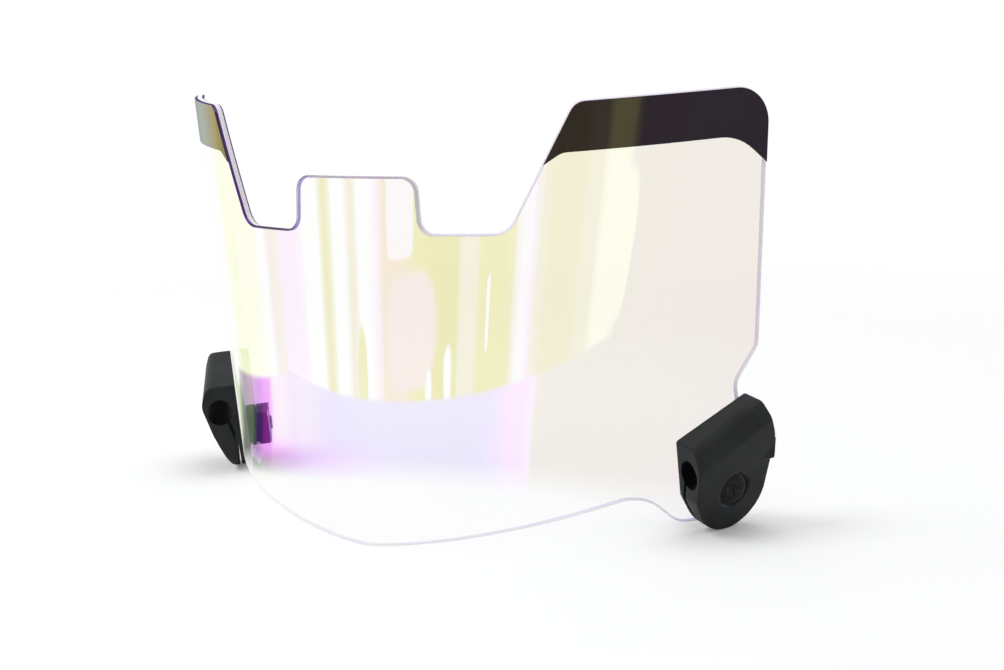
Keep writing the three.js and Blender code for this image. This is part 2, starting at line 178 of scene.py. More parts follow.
def circle_points(x: float, y: float, diameter: float, sides: int = 72) -> list[Point]:
    """The points of a circle about (x, y)."""
    turns = [2 * math.pi * i / sides for i in range(sides)]
    return [(x + diameter / 2 * math.cos(t), y + diameter / 2 * math.sin(t)) for t in turns]


def rectangle(length: float, width: float, radius: float = 0.0) -> list[Point]:
    """The outline of a rectangle about zero, with rounded corners if they have a radius."""
    signs = ((-1, -1), (1, -1), (1, 1), (-1, 1))
    return rounded_loop([corner(x * length / 2, y * width / 2, radius) for x, y in signs])


# Shaping by hand


def active(piece: Piece) -> None:
    """Makes one object the only selected one and the active one.

    Args:
        piece: The object.
    """
    bpy.ops.object.select_all(action="DESELECT")
    piece.select_set(True)
    bpy.context.view_layer.objects.active = piece


def added(name: str, primitive: Callable[..., object], **settings: object) -> Piece:
    """Adds a primitive with nothing else selected.

    Args:
        name: The name of the new object and its mesh.
        primitive: Blender's operator for the primitive.
        settings: The operator's settings.

    Returns:
        The new object, which is the active one.
    """
    bpy.ops.object.select_all(action="DESELECT")
    primitive(**settings)
    piece = bpy.context.active_object
    piece.name = piece.data.name = name
    return piece


def in_edit_mode(piece: Piece, work: Callable[[], None]) -> None:
    """Runs operators on all of a mesh in edit mode.

    Args:
        piece: The object with the mesh.
        work: What runs the operators.
    """
    active(piece)
    bpy.ops.object.mode_set(mode="EDIT")
    bpy.ops.mesh.select_all(action="SELECT")
    work()
    bpy.ops.object.mode_set(mode="OBJECT")


def apply_modifier(piece: Piece, kind: str, **settings: object) -> None:
    """Adds one modifier and applies it.

    Args:
        piece: The object to work on.
        kind: The modifier's type.
        settings: The modifier's settings.
    """
    active(piece)
    modifier = piece.modifiers.new(kind.lower(), kind)
    for name, value in settings.items():
        setattr(modifier, name, value)
    bpy.ops.object.modifier_apply(modifier=modifier.name)


def tidy_mesh(piece: Piece, merge: float = 0.001) -> None:
    """Merges doubled points and turns every face outwards.

    Args:
        piece: The object with the mesh.
        merge: The distance within which points are merged.
    """

    def merge_and_turn() -> None:
        """Runs the two operators."""
        bpy.ops.mesh.remove_doubles(threshold=merge)
        bpy.ops.mesh.normals_make_consistent(inside=False)

    in_edit_mode(piece, merge_and_turn)


def flat_piece(name: str, points: Sequence[Point]) -> Piece:
    """Makes one flat face from a filled circle.

    Args:
        name: The name of the piece.
        points: The face's outline in X and Y.

    Returns:
        The flat piece.
    """
    piece = added(name, bpy.ops.mesh.primitive_circle_add, vertices=len(points), fill_type="NGON")
    for vertex, (x, y) in zip(piece.data.vertices, points):
        vertex.co = (x, y, 0)
    return piece


def prism(name: str, points: Sequence[Point], low: float, high: float) -> Piece:
    """Makes a straight prism.

    Args:
        name: The name of the piece.
        points: The prism's outline in X and Y.
        low: The height of its lower face.
        high: The height of its upper face.

    Returns:
        The prism.
    """
    piece = flat_piece(name, points)

    def raise_face() -> None:
        """Draws the face up to the prism's height and sets the prism at its place."""
        bpy.ops.mesh.extrude_region_move(TRANSFORM_OT_translate={"value": (0, 0, high - low)})
        bpy.ops.mesh.select_all(action="SELECT")
        bpy.ops.transform.translate(value=(0, 0, low))
        bpy.ops.mesh.normals_make_consistent(inside=False)

    in_edit_mode(piece, raise_face)
    return piece


def turned(name: str, profile: Sequence[Point], sides: int = 96) -> Piece:
    """Makes a solid turned about Z.

    Args:
        name: The name of the piece.
        profile: The closed section's points, as radius and height. Where two neighbours lie on the axis,
            the line between them is left out.
        sides: How many steps the turn has.

    Returns:
        The turned solid.
    """
    piece = added(name, bpy.ops.mesh.primitive_circle_add, vertices=len(profile), fill_type="NOTHING")
    for vertex, (radius, height) in zip(piece.data.vertices, profile):
        vertex.co = (radius, 0, height)
    in_edit_mode(piece, lambda: bpy.ops.mesh.select_all(action="DESELECT"))
    for edge in piece.data.edges:
        edge.select = all(piece.data.vertices[v].co.x == 0 for v in edge.vertices)
    active(piece)
    bpy.ops.object.mode_set(mode="EDIT")
    bpy.ops.mesh.select_mode(type="EDGE")
    bpy.ops.mesh.delete(type="EDGE")
    bpy.ops.mesh.select_mode(type="VERT")
    bpy.ops.object.mode_set(mode="OBJECT")
    apply_modifier(piece, "SCREW", axis="Z", steps=sides, render_steps=sides, use_merge_vertices=True)
    tidy_mesh(piece)
    return piece


def ring(outer: float, inner: float, low: float, high: float, edge: float) -> Piece:
    """Makes a flat ring with rounded edges.

    Args:
        outer: The outer diameter.
        inner: The inner diameter.
        low: The height of its lower face.
        high: The height of its upper face.
        edge: The radius of its edges.

    Returns:
        The ring.
    """
    a, b = inner / 2, outer / 2
    corners = [corner(a, low, edge), corner(b, low, edge), corner(b, high, edge), corner(a, high, edge)]
    return turned("ring", rounded_loop(corners, RING_EDGE_STEP))


def cut(piece: Piece, tool: Piece, operation: str = "DIFFERENCE") -> None:
    """Cuts one solid by another, or joins or crosses them, and removes the tool."""
    apply_modifier(piece, "BOOLEAN", operation=operation, solver="EXACT", object=tool)
    bpy.data.objects.remove(tool)


def soften(piece: Piece, width: float, segments: int = 3, angle: float = math.radians(35)) -> None:
    """Rounds the edges of a solid where its faces turn by more than an angle."""
    apply_modifier(
        piece, "BEVEL", width=width, segments=segments, limit_method="ANGLE", angle_limit=angle,
        use_clamp_overlap=True, miter_outer="MITER_ARC",
    )


def settle(piece: Piece, place: Matrix, smooth_angle: float) -> None:
    """Puts a shaped piece in its place, in metres, with the place in its mesh.

    Args:
        piece: The piece, in millimetres.
        place: Where it goes, in millimetres.
        smooth_angle: The greatest turn between two faces that are shaded as one surface.
    """
    piece.data.transform(Matrix.Scale(MM, 4) @ place)
    if place.determinant() < 0:
        piece.data.flip_normals()
    active(piece)
    bpy.ops.object.shade_smooth_by_angle(angle=smooth_angle)


def dress(piece: Piece, slot: str, body: str, node: str, *materials: bpy.types.Material) -> None:
    """Gives a piece its materials and its body, and hides the CAD node that it stands for.

    Args:
        piece: The finished piece.
        slot: The slot of the part's record that it belongs to. Not used.
        body: The body that it moves with.
        node: The CAD node.
        materials: Its materials, unless it has some already.
    """
    if not piece.data.materials:
        for material in materials:
            piece.data.materials.append(material)
    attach(piece, body)
    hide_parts(node)
    LOG.info("%s: %d faces on %s", piece.name, len(piece.data.polygons), body)


# Finishes


class NodePad:
    """A small hand for the nodes of a material, a group or the world.

    The MIX numbers are the sockets of a Mix node that blend colours, because several share a name.
    """

    MIX_SHARE, MIX_UNDER, MIX_OVER, MIX_RESULT = 0, 6, 7, 2

    def __init__(self, tree: bpy.types.NodeTree) -> None:
        """Empties the tree and keeps it."""
        tree.nodes.clear()
        self.tree = tree

    def node(self, kind: str, values: dict | None = None, **settings: object) -> bpy.types.Node:
        """Adds a node.

        Args:
            kind: The node's whole type name.
            values: Input sockets by name or number, each with a constant or a socket to link.
            settings: The node's own properties.

        Returns:
            The new node.
        """
        node = self.tree.nodes.new(kind)
        for name, value in settings.items():
            setattr(node, name, value)
        for key, value in (values or {}).items():
            socket = node.inputs[key]
            if isinstance(value, Socket):
                self.tree.links.new(value, socket)
            else:
                socket.default_value = (*value, 1.0) if socket.type == "RGBA" else value
        return node

    def add(self, kind: str, values: dict | None = None, **settings: object) -> Socket:
        """Adds a shader node by its short type name and gives its first output."""
        return self.node("ShaderNode" + kind, values, **settings).outputs[0]

    def maths(self, operation: str, first: object, second: object = 0.0) -> Socket:
        """The result of one sum on two numbers or sockets."""
        return self.add("Math", {0: first, 1: second}, operation=operation)

    def vectors(self, operation: str, first: object, second: object) -> Socket:
        """The result of one sum on two colours, each part by itself."""
        return self.add("VectorMath", {0: first, 1: second}, operation=operation)

    def share(self, value: Socket, start: float, end: float, clamp: bool = True) -> Socket:
        """How far a value has come from start to end, as a share."""
        return self.add("MapRange", {"Value": value, "From Min": start, "From Max": end}, clamp=clamp)

    def length(self, x: Socket, y: Socket) -> Socket:
        """The distance of (x, y) from zero."""
        squares = self.maths("ADD", self.maths("MULTIPLY", x, x), self.maths("MULTIPLY", y, y))
        return self.maths("SQRT", squares)

    def grey(self, value: Socket) -> Socket:
        """A colour whose three parts are one value."""
        return self.add("CombineColor", {0: value, 1: value, 2: value})

    def blend(self, share: Socket, under: Socket | Colour, over: Socket | Colour) -> Socket:
        """Lays one colour over another by a share from 0 to 1."""
        values = {self.MIX_SHARE: share, self.MIX_UNDER: under, self.MIX_OVER: over}
        return self.node("ShaderNodeMix", values, data_type="RGBA").outputs[self.MIX_RESULT]

    def mixed(self, share: Socket | float, first: Socket, second: Socket) -> Socket:
        """Mixes two shaders by the second one's share."""
        return self.add("MixShader", {0: share, 1: first, 2: second})

    def glow(self, colour: Socket | Colour = (1.0, 1.0, 1.0), strength: float = 1.0) -> Socket:
        """A shader that shines by itself."""
        return self.add("Emission", {"Color": colour, "Strength": strength})

    def place(self) -> tuple[Socket, ...]:
        """The three parts of the place on the piece, in metres."""
        where = self.node("ShaderNodeTexCoord").outputs["Object"]
        return tuple(self.node("ShaderNodeSeparateXYZ", {0: where}).outputs)

    def any_ray(self, *kinds: str) -> Socket:
        """Tells rays apart.

        Args:
            kinds: The kinds of ray that are looked for.

        Returns:
            1 for a ray of one of these kinds, and 0 for any other.
        """
        rays = self.node("ShaderNodeLightPath").outputs
        found, *others = (rays[f"Is {kind} Ray"] for kind in kinds)
        for other in others:
            found = self.maths("MAXIMUM", found, other)
        return found

    def ramp(self, factor: Socket, stops: Stops) -> Socket:
        """Adds a colour ramp.

        Args:
            factor: The value to look up.
            stops: The ramp's places in rising order, each with its colour.

        Returns:
            The ramp's colour.
        """
        node = self.node("ShaderNodeValToRGB", {0: factor})
        elements = node.color_ramp.elements
        while len(elements) < len(stops):
            elements.new(1.0)
        while len(elements) > len(stops):
            elements.remove(elements[-1])
        for element, (place, _) in zip(elements, stops):
            element.position = place
        for element, (_, colour) in zip(elements, stops):
            element.color = (*colour, 1.0)
        return node.outputs[0]

    def end(self, shader: Socket, kind: str = "ShaderNodeOutputMaterial") -> None:
        """Ends the tree in an output node."""
        self.node(kind, {0: shader})


def new_material(name: str) -> tuple[bpy.types.Material, NodePad]:
    """Makes an empty node material.

    Args:
        name: The material's name.

    Returns:
        The material, and the hand for its nodes.
    """
    material = bpy.data.materials.new(name)
    material.use_nodes = True
    return material, NodePad(material.node_tree)


def moulded_grain() -> bpy.types.NodeTree:
    """The shared group for fine grain and broad wear, built once.

    Returns:
        A group with the inputs Grain Size and Cloud Size, in counts to the metre, and the outputs Grain
        and Clouds, both from 0 to 1.
    """
    known = bpy.data.node_groups.get("moulded_grain")
    if known:
        return known
    group = bpy.data.node_groups.new("moulded_grain", "ShaderNodeTree")
    for way, names in (("INPUT", ("Grain Size", "Cloud Size")), ("OUTPUT", ("Grain", "Clouds"))):
        for name in names:
            group.interface.new_socket(name, in_out=way, socket_type="NodeSocketFloat")
    pad = NodePad(group)
    given = pad.node("NodeGroupInput").outputs
    where = pad.node("ShaderNodeTexCoord").outputs["Object"]
    grain = pad.add("TexNoise", {"Vector": where, "Scale": given["Grain Size"], "Detail": 2.0})
    clouds = pad.add("TexNoise", {"Vector": where, "Scale": given["Cloud Size"], "Detail": 3.0})
    pad.node("NodeGroupOutput", {"Grain": grain, "Clouds": clouds})
    return group


@dataclass(frozen=True)
class Grain:
    """How coarse the shared grain is in one finish, and where its clouds turn from dark to light."""

    grain_size: float = 3200.0
    cloud_size: float = 90.0
    darkest: float = 0.3
    lightest: float = 0.7

    def lay(self, pad: NodePad, dark: Colour, light: Colour) -> tuple[Socket, Socket]:
        """Places the shared group in a material.

        Args:
            pad: The hand for the material's nodes.
            dark: The colour of the dark clouds.
            light: The colour of the light clouds.

        Returns:
            The grain and the clouds' colour.
        """
        sizes = {"Grain Size": self.grain_size, "Cloud Size": self.cloud_size}
        group = pad.node("ShaderNodeGroup", sizes, node_tree=moulded_grain()).outputs
        return group["Grain"], pad.ramp(group["Clouds"], [(self.darkest, dark), (self.lightest, light)])


@dataclass(frozen=True)
class SolidFinish:
    """An opaque finish with fine grain and slow variation: moulded nylon, rubber or plated steel."""

    name: str
    dark: Colour
    light: Colour
    smoothest: float
    roughest: float
    metallic: float = 0.0
    specular: float = 0.5
    grain: Grain = Grain()
    bump: float = 0.15
    bump_height: float = 0.00004

    def material(self) -> bpy.types.Material:
        """Builds the material."""
        material, pad = new_material(self.name)
        grain, colour = self.grain.lay(pad, self.dark, self.light)
        rougher = pad.maths("MULTIPLY", grain, self.roughest - self.smoothest)
        bump = pad.add("Bump", {"Strength": self.bump, "Distance": self.bump_height, "Height": grain})
        pad.end(pad.add("BsdfPrincipled", {
            "Base Color": colour, "Roughness": pad.maths("ADD", rougher, self.smoothest),
            "Metallic": self.metallic, "Specular IOR Level": self.specular, "Normal": bump,
        }))
        return material


@dataclass(frozen=True)
class CoatedFinish:
    """The lens's mirror coat: the share of each colour that it mirrors, by how strongly bare glass would."""

    index: float = 1.58
    head_on: Colour = (0.085, 0.095, 0.33)
    slanting: Colour = (0.10, 0.15, 0.20)
    steep: Colour = (0.15, 0.42, 0.12)
    steeper: Colour = (0.26, 0.50, 0.18)
    grazing: Colour = (0.48, 0.60, 0.36)
    edge_on: Colour = (1.0, 1.0, 1.0)
    bare_shares: tuple[float, ...] = (0.052, 0.075, 0.12, 0.22, 0.42, 1.0)

    def mirrored(self, pad: NodePad) -> Socket:
        """The colour that the coat mirrors, in a material's nodes."""
        colours = (self.head_on, self.slanting, self.steep, self.steeper, self.grazing, self.edge_on)
        return pad.ramp(pad.add("Fresnel", {"IOR": self.index}), list(zip(self.bare_shares, colours)))


@dataclass(frozen=True)
class LensFinish:
    """Clear coated polycarbonate: light passes or is mirrored by the coat, and lamps pass through."""

    name: str = "clear_coated_lens"
    body: Colour = (0.995, 0.995, 0.99)
    lamp_share: Colour = (0.97, 0.97, 0.97)
    coat: CoatedFinish | None = CoatedFinish()
    whole_sheet: bool = False
    locked_in: float = 0.98
    # The frost may carry painted shade and reflections: its tint is set by place, along X and with height.
    frost: float = 0.0
    frost_stops: Stops = ((0.0, (0.98, 0.95, 0.97)),)
    frost_reach: float = 0.105
    frost_low: Colour = (0.98, 0.95, 0.97)
    frost_rise: tuple[float, float] = (0.035, 0.065)

    def material(self) -> bpy.types.Material:
        """Builds the material."""
        material, pad = new_material(self.name)
        bare = pad.add("Fresnel", {"IOR": CoatedFinish.index})
        mirrored = self.coat.mirrored(pad) if self.coat else pad.grey(bare)
        if self.whole_sheet:
            mirrored = self.both_faces(pad, mirrored, bare)
        passed = pad.vectors("SUBTRACT", self.body, mirrored)
        through = pad.add("BsdfRefraction", {"Color": passed, "Roughness": 0.0, "IOR": CoatedFinish.index})
        mirror = pad.add("BsdfGlossy", {"Color": mirrored, "Roughness": 0.0})
        glass = pad.add("AddShader", {0: through, 1: mirror})
        if self.frost:
            glass = pad.mixed(self.frost, glass, pad.add("BsdfDiffuse", {"Color": self.frost_tint(pad)}))
        open_glass = pad.add("BsdfTransparent", {"Color": self.lamp_share})
        pad.end(pad.mixed(pad.any_ray("Shadow", "Diffuse"), glass, open_glass))
        return material

    def frost_tint(self, pad: NodePad) -> Socket:
        """The colour of the frost, with painted shade and reflections that may change from one side of the
        visor to the other.

        Args:
            pad: The hand for the material's nodes.

        Returns:
            The low colour near the floor, and above it the colour from the stops' places along X in metres.
        """
        x, _, z = pad.place()
        span = 2 * self.frost_reach
        across = pad.share(x, -self.frost_reach, self.frost_reach)
        tint = pad.ramp(across, [(stop / span + 0.5, colour) for stop, colour in self.frost_stops])
        return pad.blend(pad.share(z, *self.frost_rise), self.frost_low, tint)

    def both_faces(self, pad: NodePad, mirrored: Socket, bare: Socket) -> Socket:
        """Gives the face that light comes to first what both faces mirror together.

        Args:
            pad: The hand for the material's nodes.
            mirrored: The share that one coated face mirrors.
            bare: The share that a bare face mirrors, 1 where no light can pass out of the sheet.

        Returns:
            The share that is mirrored on the way in. On the way out only light that can't pass is mirrored.
        """
        twice = pad.vectors("ADD", mirrored, mirrored)
        entering = pad.vectors("DIVIDE", twice, pad.vectors("ADD", mirrored, (1.0, 1.0, 1.0)))
        leaving = pad.grey(pad.maths("GREATER_THAN", bare, self.locked_in))
        return pad.blend(pad.node("ShaderNodeNewGeometry").outputs["Backfacing"], entering, leaving)


@dataclass(frozen=True)
class InkFinish:
    """Black ink under the lens's coat, which mirrors more of some colours at a slant."""

    name: str = "black_ink"
    ink: Colour = (0.005, 0.013, 0.005)
    worn: Colour = (0.008, 0.017, 0.008)
    roughness: float = 0.5
    grain: Grain = Grain(2500.0, 60.0)
    coat: CoatedFinish = CoatedFinish(
        head_on=(0.068, 0.056, 0.038), slanting=(0.07, 0.062, 0.07), steep=(0.10, 0.12, 0.10),
        steeper=(0.40, 0.34, 0.38), grazing=(0.42, 0.46, 0.36), edge_on=(0.32, 0.32, 0.55),
    )

    def material(self) -> bpy.types.Material:
        """Builds the material."""
        material, pad = new_material(self.name)
        _, colour = self.grain.lay(pad, self.ink, self.worn)
        ink = {"Base Color": colour, "Roughness": self.roughness, "Specular IOR Level": 0.0}
        mirror = pad.add("BsdfGlossy", {"Color": self.coat.mirrored(pad), "Roughness": 0.0})
        pad.end(pad.add("AddShader", {0: pad.add("BsdfPrincipled", ink), 1: mirror}))
        return material


class Finishes:
    """Every material of the visor, built once."""

    def __init__(self) -> None:
        """Builds the materials."""
        self.lens = LensFinish(whole_sheet=True).material()
        self.rim = LensFinish(name="cut_lens_rim", body=(0.92, 0.92, 0.94), coat=None, frost=0.85).material()
        violet = CoatedFinish(
            head_on=(0.20, 0.08, 0.45), slanting=(0.20, 0.08, 0.45), steep=(0.22, 0.10, 0.48),
            steeper=(0.24, 0.12, 0.50), grazing=(0.30, 0.20, 0.55), edge_on=(0.50, 0.40, 0.70),
        )
        # The coated edge's frost paints its shade and reflections: dark violet on the wearer's right, pale on
        # the left and near the floor.
        self.edge = LensFinish(
            name="coated_edge", body=(0.75, 0.62, 0.88), coat=violet, frost=0.85,
            frost_stops=(
                (-0.045, (0.08, 0.03, 0.16)), (-0.030, (0.06, 0.05, 0.06)), (-0.022, (0.08, 0.07, 0.09)),
                (-0.018, (0.26, 0.18, 0.34)), (-0.012, (0.48, 0.42, 0.50)), (0.014, (0.48, 0.42, 0.50)),
                (0.022, (0.78, 0.76, 0.80)), (0.042, (0.90, 0.85, 1.00)), (0.060, (0.95, 0.92, 0.96)),
            ),
        ).material()
        self.ink = InkFinish().material()
        self.nylon = SolidFinish(
            "moulded_nylon", (0.013, 0.014, 0.015), (0.022, 0.024, 0.026), 0.42, 0.62, specular=0.14,
        ).material()
        # Near-black nylon for the walls of the bore and the slit: painted shade in these hollows.
        self.bore_nylon = SolidFinish(
            "bore_nylon", (0.001, 0.001, 0.001), (0.003, 0.003, 0.003), 0.60, 0.80, specular=0.02,
        ).material()
        self.black_steel = SolidFinish(
            "black_oxide_steel", (0.009, 0.009, 0.010), (0.018, 0.018, 0.019), 0.45, 0.65, metallic=0.2,
            specular=0.12, grain=Grain(5000.0), bump=0.08,
        ).material()
        self.zinc_steel = SolidFinish(
            "zinc_plated_steel", (0.50, 0.51, 0.53), (0.62, 0.63, 0.66), 0.22, 0.42, metallic=1.0,
            grain=Grain(4000.0), bump=0.08,
        ).material()
        self.rubber = SolidFinish(
            "soft_rubber", (0.012, 0.012, 0.012), (0.022, 0.022, 0.022), 0.75, 0.95, specular=0.3,
        ).material()


# The bent sheet and what lies on it


@dataclass(frozen=True)
class BentSheet:
    """The lens's outer face: an arc with a straight wing at each end, growing with height as on a cone."""

    front_radius: float = 93.9
    half_angle: float = math.radians(52.5)
    radius_height: float = 55.8
    tip_depth: float = 448.2
    rear_shift: float = -34.506
    bend_step: float = math.radians(1.25)
    outline_step: float = 3.0
    last_line_gap: float = 0.8
    line_merge: float = 0.0001
    sharp_angle: float = math.radians(60)
    face_level: float = 0.99
    round_level: float = 0.2
    smooth_angle: float = math.radians(12)

    @property
    def arc_length(self) -> float:
        """The length of half the arc at the height of the front radius."""
        return self.front_radius * self.half_angle

    def growth(self, height: float) -> float:
        """How much longer a level cut is here than at the height of the front radius."""
        return 1 + (height - self.radius_height) / self.tip_depth

    def place(self, run: float, height: float, offset: float) -> Vector:
        """The place of a point of the sheet.

        Args:
            run: The distance along the sheet, as at the height of the front radius.
            height: The height above the floor.
            offset: The distance out of the outer face.

        Returns:
            The place in the part's frame, in millimetres.
        """
        side = -1 if run < 0 else 1
        scale = self.growth(height)
        angle = min(abs(run), self.arc_length) / self.front_radius
        straight = max(abs(run) - self.arc_length, 0.0)
        flat_x = self.front_radius * math.sin(angle) + straight * math.cos(angle)
        flat_y = self.front_radius * (1 - math.cos(angle)) + straight * math.sin(angle)
        along = Vector((math.cos(angle), side * math.sin(angle), 0))
        climb = Vector((side * flat_x / self.tip_depth, flat_y / self.tip_depth, 1))
        out = along.cross(climb).normalized()
        return Vector((side * flat_x * scale, flat_y * scale + self.rear_shift, height)) + out * offset

    def slab(
        self, name: str, reaches: Sequence[Point], outer: float, inner: float, edge: float = 0.0,
    ) -> Piece:
        """Makes a sheet piece flat, rounds its edges, draws a line wherever it bends, and wraps it round.

        The edges come before the lines, because the short pieces between two lines would limit the rounds.

        Args:
            name: The piece's name.
            reaches: Its outline, in true distance along the sheet and height.
            outer: The offset of its outer face.
            inner: The offset of its inner face.
            edge: The radius of its edges.

        Returns:
            The wrapped piece, in millimetres, with its first material on the two faces, its second on the
            cut edge and its third on the edge's rounds.
        """
        runs = [(x / self.growth(y), y) for x, y in divided(reaches, self.outline_step)]
        piece = flat_piece(name, runs)
        piece.data.transform(Matrix.Translation((0, 0, outer)))
        if piece.data.polygons[0].normal.z < 0:
            piece.data.flip_normals()
        apply_modifier(piece, "SOLIDIFY", thickness=outer - inner, offset=-1.0)
        if edge > 0:
            soften(piece, edge, angle=self.sharp_angle)
        steps = math.ceil(2 * self.half_angle / self.bend_step)
        lines = [self.arc_length * (2 * i / steps - 1) for i in range(steps + 1)]
        lines += [side * (self.arc_length + self.last_line_gap) for side in (-1, 1)]
        low, high = min(x for x, _ in runs), max(x for x, _ in runs)

        def draw_lines() -> None:
            """Bisects the whole sheet at each line that crosses it."""
            for line in sorted(lines):
                if low < line < high:
                    bpy.ops.mesh.select_all(action="SELECT")
                    bpy.ops.mesh.bisect(plane_co=(line, 0, 0), plane_no=(1, 0, 0), threshold=self.line_merge)

        in_edit_mode(piece, draw_lines)
        piece.data.materials.clear()
        for polygon in piece.data.polygons:
            level = abs(polygon.normal.z)
            polygon.material_index = 0 if level > self.face_level else 2 if level > self.round_level else 1
        for vertex in piece.data.vertices:
            vertex.co = self.place(*vertex.co)
        return piece


@dataclass(frozen=True)
class Lens:
    """The clear lens: a bent front with a tab between two notches, two raised wings and two mounting tabs."""

    sheet: BentSheet = BentSheet()
    thickness: float = 2.6
    tab_half_width: float = 19.4
    tab_flare: float = 0.9
    tab_height: float = 104.5
    tab_radius: float = 4.5
    notch_height: float = 89.2
    notch_inner_radius: float = 4.0
    notch_reach: float = 44.0
    notch_outer_radius: float = 7.0
    slant_angle: float = math.radians(62.2)
    wing_reach: float = 120.0
    wing_height: float = 126.9
    wing_top_angle: float = math.radians(3.2)
    wing_front_radius: float = 5.0
    wing_rear_radius: float = 10.0
    heel_height: float = 53.2
    heel_radius: float = 4.0
    neck_reach: float = 113.0
    neck_height: float = 42.8
    neck_radius: float = 5.0
    arch_height: float = 11.9
    arch_reach: float = 76.4
    arch_foot_reach: float = 98.4
    screw_reach: float = 108.4
    screw_height: float = 13.4
    mount_tab_radius: float = 11.1
    hole_diameter: float = 8.0
    rise_shares: tuple[float, ...] = (0.2, 0.04, 0.9, 0.95)
    fall_shares: tuple[float, ...] = (0.62, 0.6)
    curve_steps: int = 30
    edge_radius: float = 0.6

    @property
    def wing_front_top(self) -> Point:
        """The upper front corner of the left wing."""
        return meet(
            (self.notch_reach, self.notch_height), self.slant_angle,
            (self.wing_reach, self.wing_height), self.wing_top_angle,
        )

    def lower_edge(self) -> list[Corner]:
        """The points from the middle of the front, over the arch, to the foot of the mounting tab."""
        rise_x, rise_y, top_x, top_y = self.rise_shares
        fall_out, fall_in = self.fall_shares
        foot = self.screw_height - self.mount_tab_radius
        length = self.arch_foot_reach - self.arch_reach
        rise = [
            (0.0, 0.0), (self.arch_reach * rise_x, self.arch_height * rise_y),
            (self.arch_reach * top_x, self.arch_height * top_y), (self.arch_reach, self.arch_height),
        ]
        fall = [
            (self.arch_reach, self.arch_height), (self.arch_reach + length * fall_out, self.arch_height),
            (self.arch_reach + length * fall_in, foot), (self.arch_foot_reach, foot),
        ]
        points = []
        for curve in (rise, fall):
            for k in range(1, self.curve_steps + 1):
                t = k / self.curve_steps
                shares = ((1 - t) ** 3, 3 * t * (1 - t) ** 2, 3 * t * t * (1 - t), t**3)
                points.append(corner(*(sum(s * p[i] for s, p in zip(shares, curve)) for i in (0, 1))))
        return points

    def outline(self) -> list[Point]:
        """The whole outline, in true distance along the sheet and height."""
        tab = self.mount_tab_radius
        left = [
            *self.lower_edge(),
            corner(self.screw_reach + tab, self.screw_height - tab, tab),
            corner(self.neck_reach, self.neck_height, self.neck_radius),
            corner(self.wing_reach, self.heel_height, self.heel_radius),
            corner(self.wing_reach, self.wing_height, self.wing_rear_radius),
            corner(*self.wing_front_top, self.wing_front_radius),
            corner(self.notch_reach, self.notch_height, self.notch_outer_radius),
            corner(self.tab_half_width + self.tab_flare, self.notch_height, self.notch_inner_radius),
            corner(self.tab_half_width, self.tab_height, self.tab_radius),
        ]
        right = [corner(-x, y, radius) for x, y, radius in reversed(left)]
        return rounded_loop([corner(0.0, 0.0), *left, *right])

    def build(self, finishes: Finishes, seats: Iterable[Matrix]) -> None:
        """Makes the lens and drills it for the screws.

        Args:
            finishes: The visor's materials.
            seats: The frames of the two screws, on the lens's outer face.
        """
        piece = self.sheet.slab("lens", self.outline(), 0.0, -self.thickness, self.edge_radius)
        for material in (finishes.lens, finishes.rim, finishes.edge):
            piece.data.materials.append(material)
        for seat in seats:
            hole = circle_points(0, 0, self.hole_diameter)
            drill = prism("drill", hole, -2 * self.thickness, self.thickness)
            drill.data.transform(seat)
            tidy_mesh(drill)
            cut(piece, drill)
        settle(piece, Matrix(), self.sheet.smooth_angle)
        dress(piece, "clear_lens", "lens_assembly", "visor_lens")


@dataclass(frozen=True)
class WingBand:
    """The printed band at the top of one wing."""

    lens: Lens = Lens()
    drop: float = 13.2
    front_drop: float = 16.6
    front_length: float = 5.0
    rear_drop: float = 21.2
    rear_length: float = 9.5
    margin: float = 0.25
    bend_radius: float = 16.0
    film: float = 0.3
    lift: float = 0.1

    def below_top(self, reach: float, drop: float) -> float:
        """The height at a reach along the wing, by its drop below the wing's top."""
        lens = self.lens
        return lens.wing_height - (lens.wing_reach - reach) * math.tan(lens.wing_top_angle) - drop

    def outline(self, side: Side) -> list[Point]:
        """The band's outline, inside a narrow clear margin of the wing.

        Args:
            side: The side that the wing is on.

        Returns:
            The outline, in true distance along the sheet and height.
        """
        lens = self.lens
        rear = lens.wing_reach - self.margin
        slant_foot = (lens.notch_reach + self.margin / math.sin(lens.slant_angle), lens.notch_height)
        top = self.below_top(rear, self.margin)
        front_top = meet(slant_foot, lens.slant_angle, (rear, top), lens.wing_top_angle)
        front_foot = self.below_top(lens.wing_front_top[0], self.front_drop)
        tip = meet(slant_foot, lens.slant_angle, (0.0, front_foot), 0.0)
        front_bend = tip[0] + self.front_length
        rear_bend = rear - self.rear_length
        corners = [
            corner(*tip),
            corner(front_bend, self.below_top(front_bend, self.drop), self.front_length),
            corner(rear_bend, self.below_top(rear_bend, self.drop), self.bend_radius),
            corner(rear, self.below_top(rear, self.rear_drop)),
            corner(rear, top, lens.wing_rear_radius - self.margin),
            corner(*front_top, lens.wing_front_radius - self.margin),
        ]
        placed = [corner(side.value * x, y, radius) for x, y, radius in corners]
        return rounded_loop(placed if side is Side.LEFT else placed[::-1])

    def build(self, side: Side, finishes: Finishes) -> None:
        """Makes one band.

        Args:
            side: The side that its wing is on.
            finishes: The visor's materials.
        """
        name = f"{side.prefix}_ink_band"
        piece = self.lens.sheet.slab(name, self.outline(side), self.lift + self.film, self.lift)
        for polygon in piece.data.polygons:
            polygon.material_index = 0
        settle(piece, Matrix(), self.lens.sheet.smooth_angle)
        dress(piece, "black_print", "lens_assembly", f"{side.prefix}_wing_band", finishes.ink)


# The clip and its screw


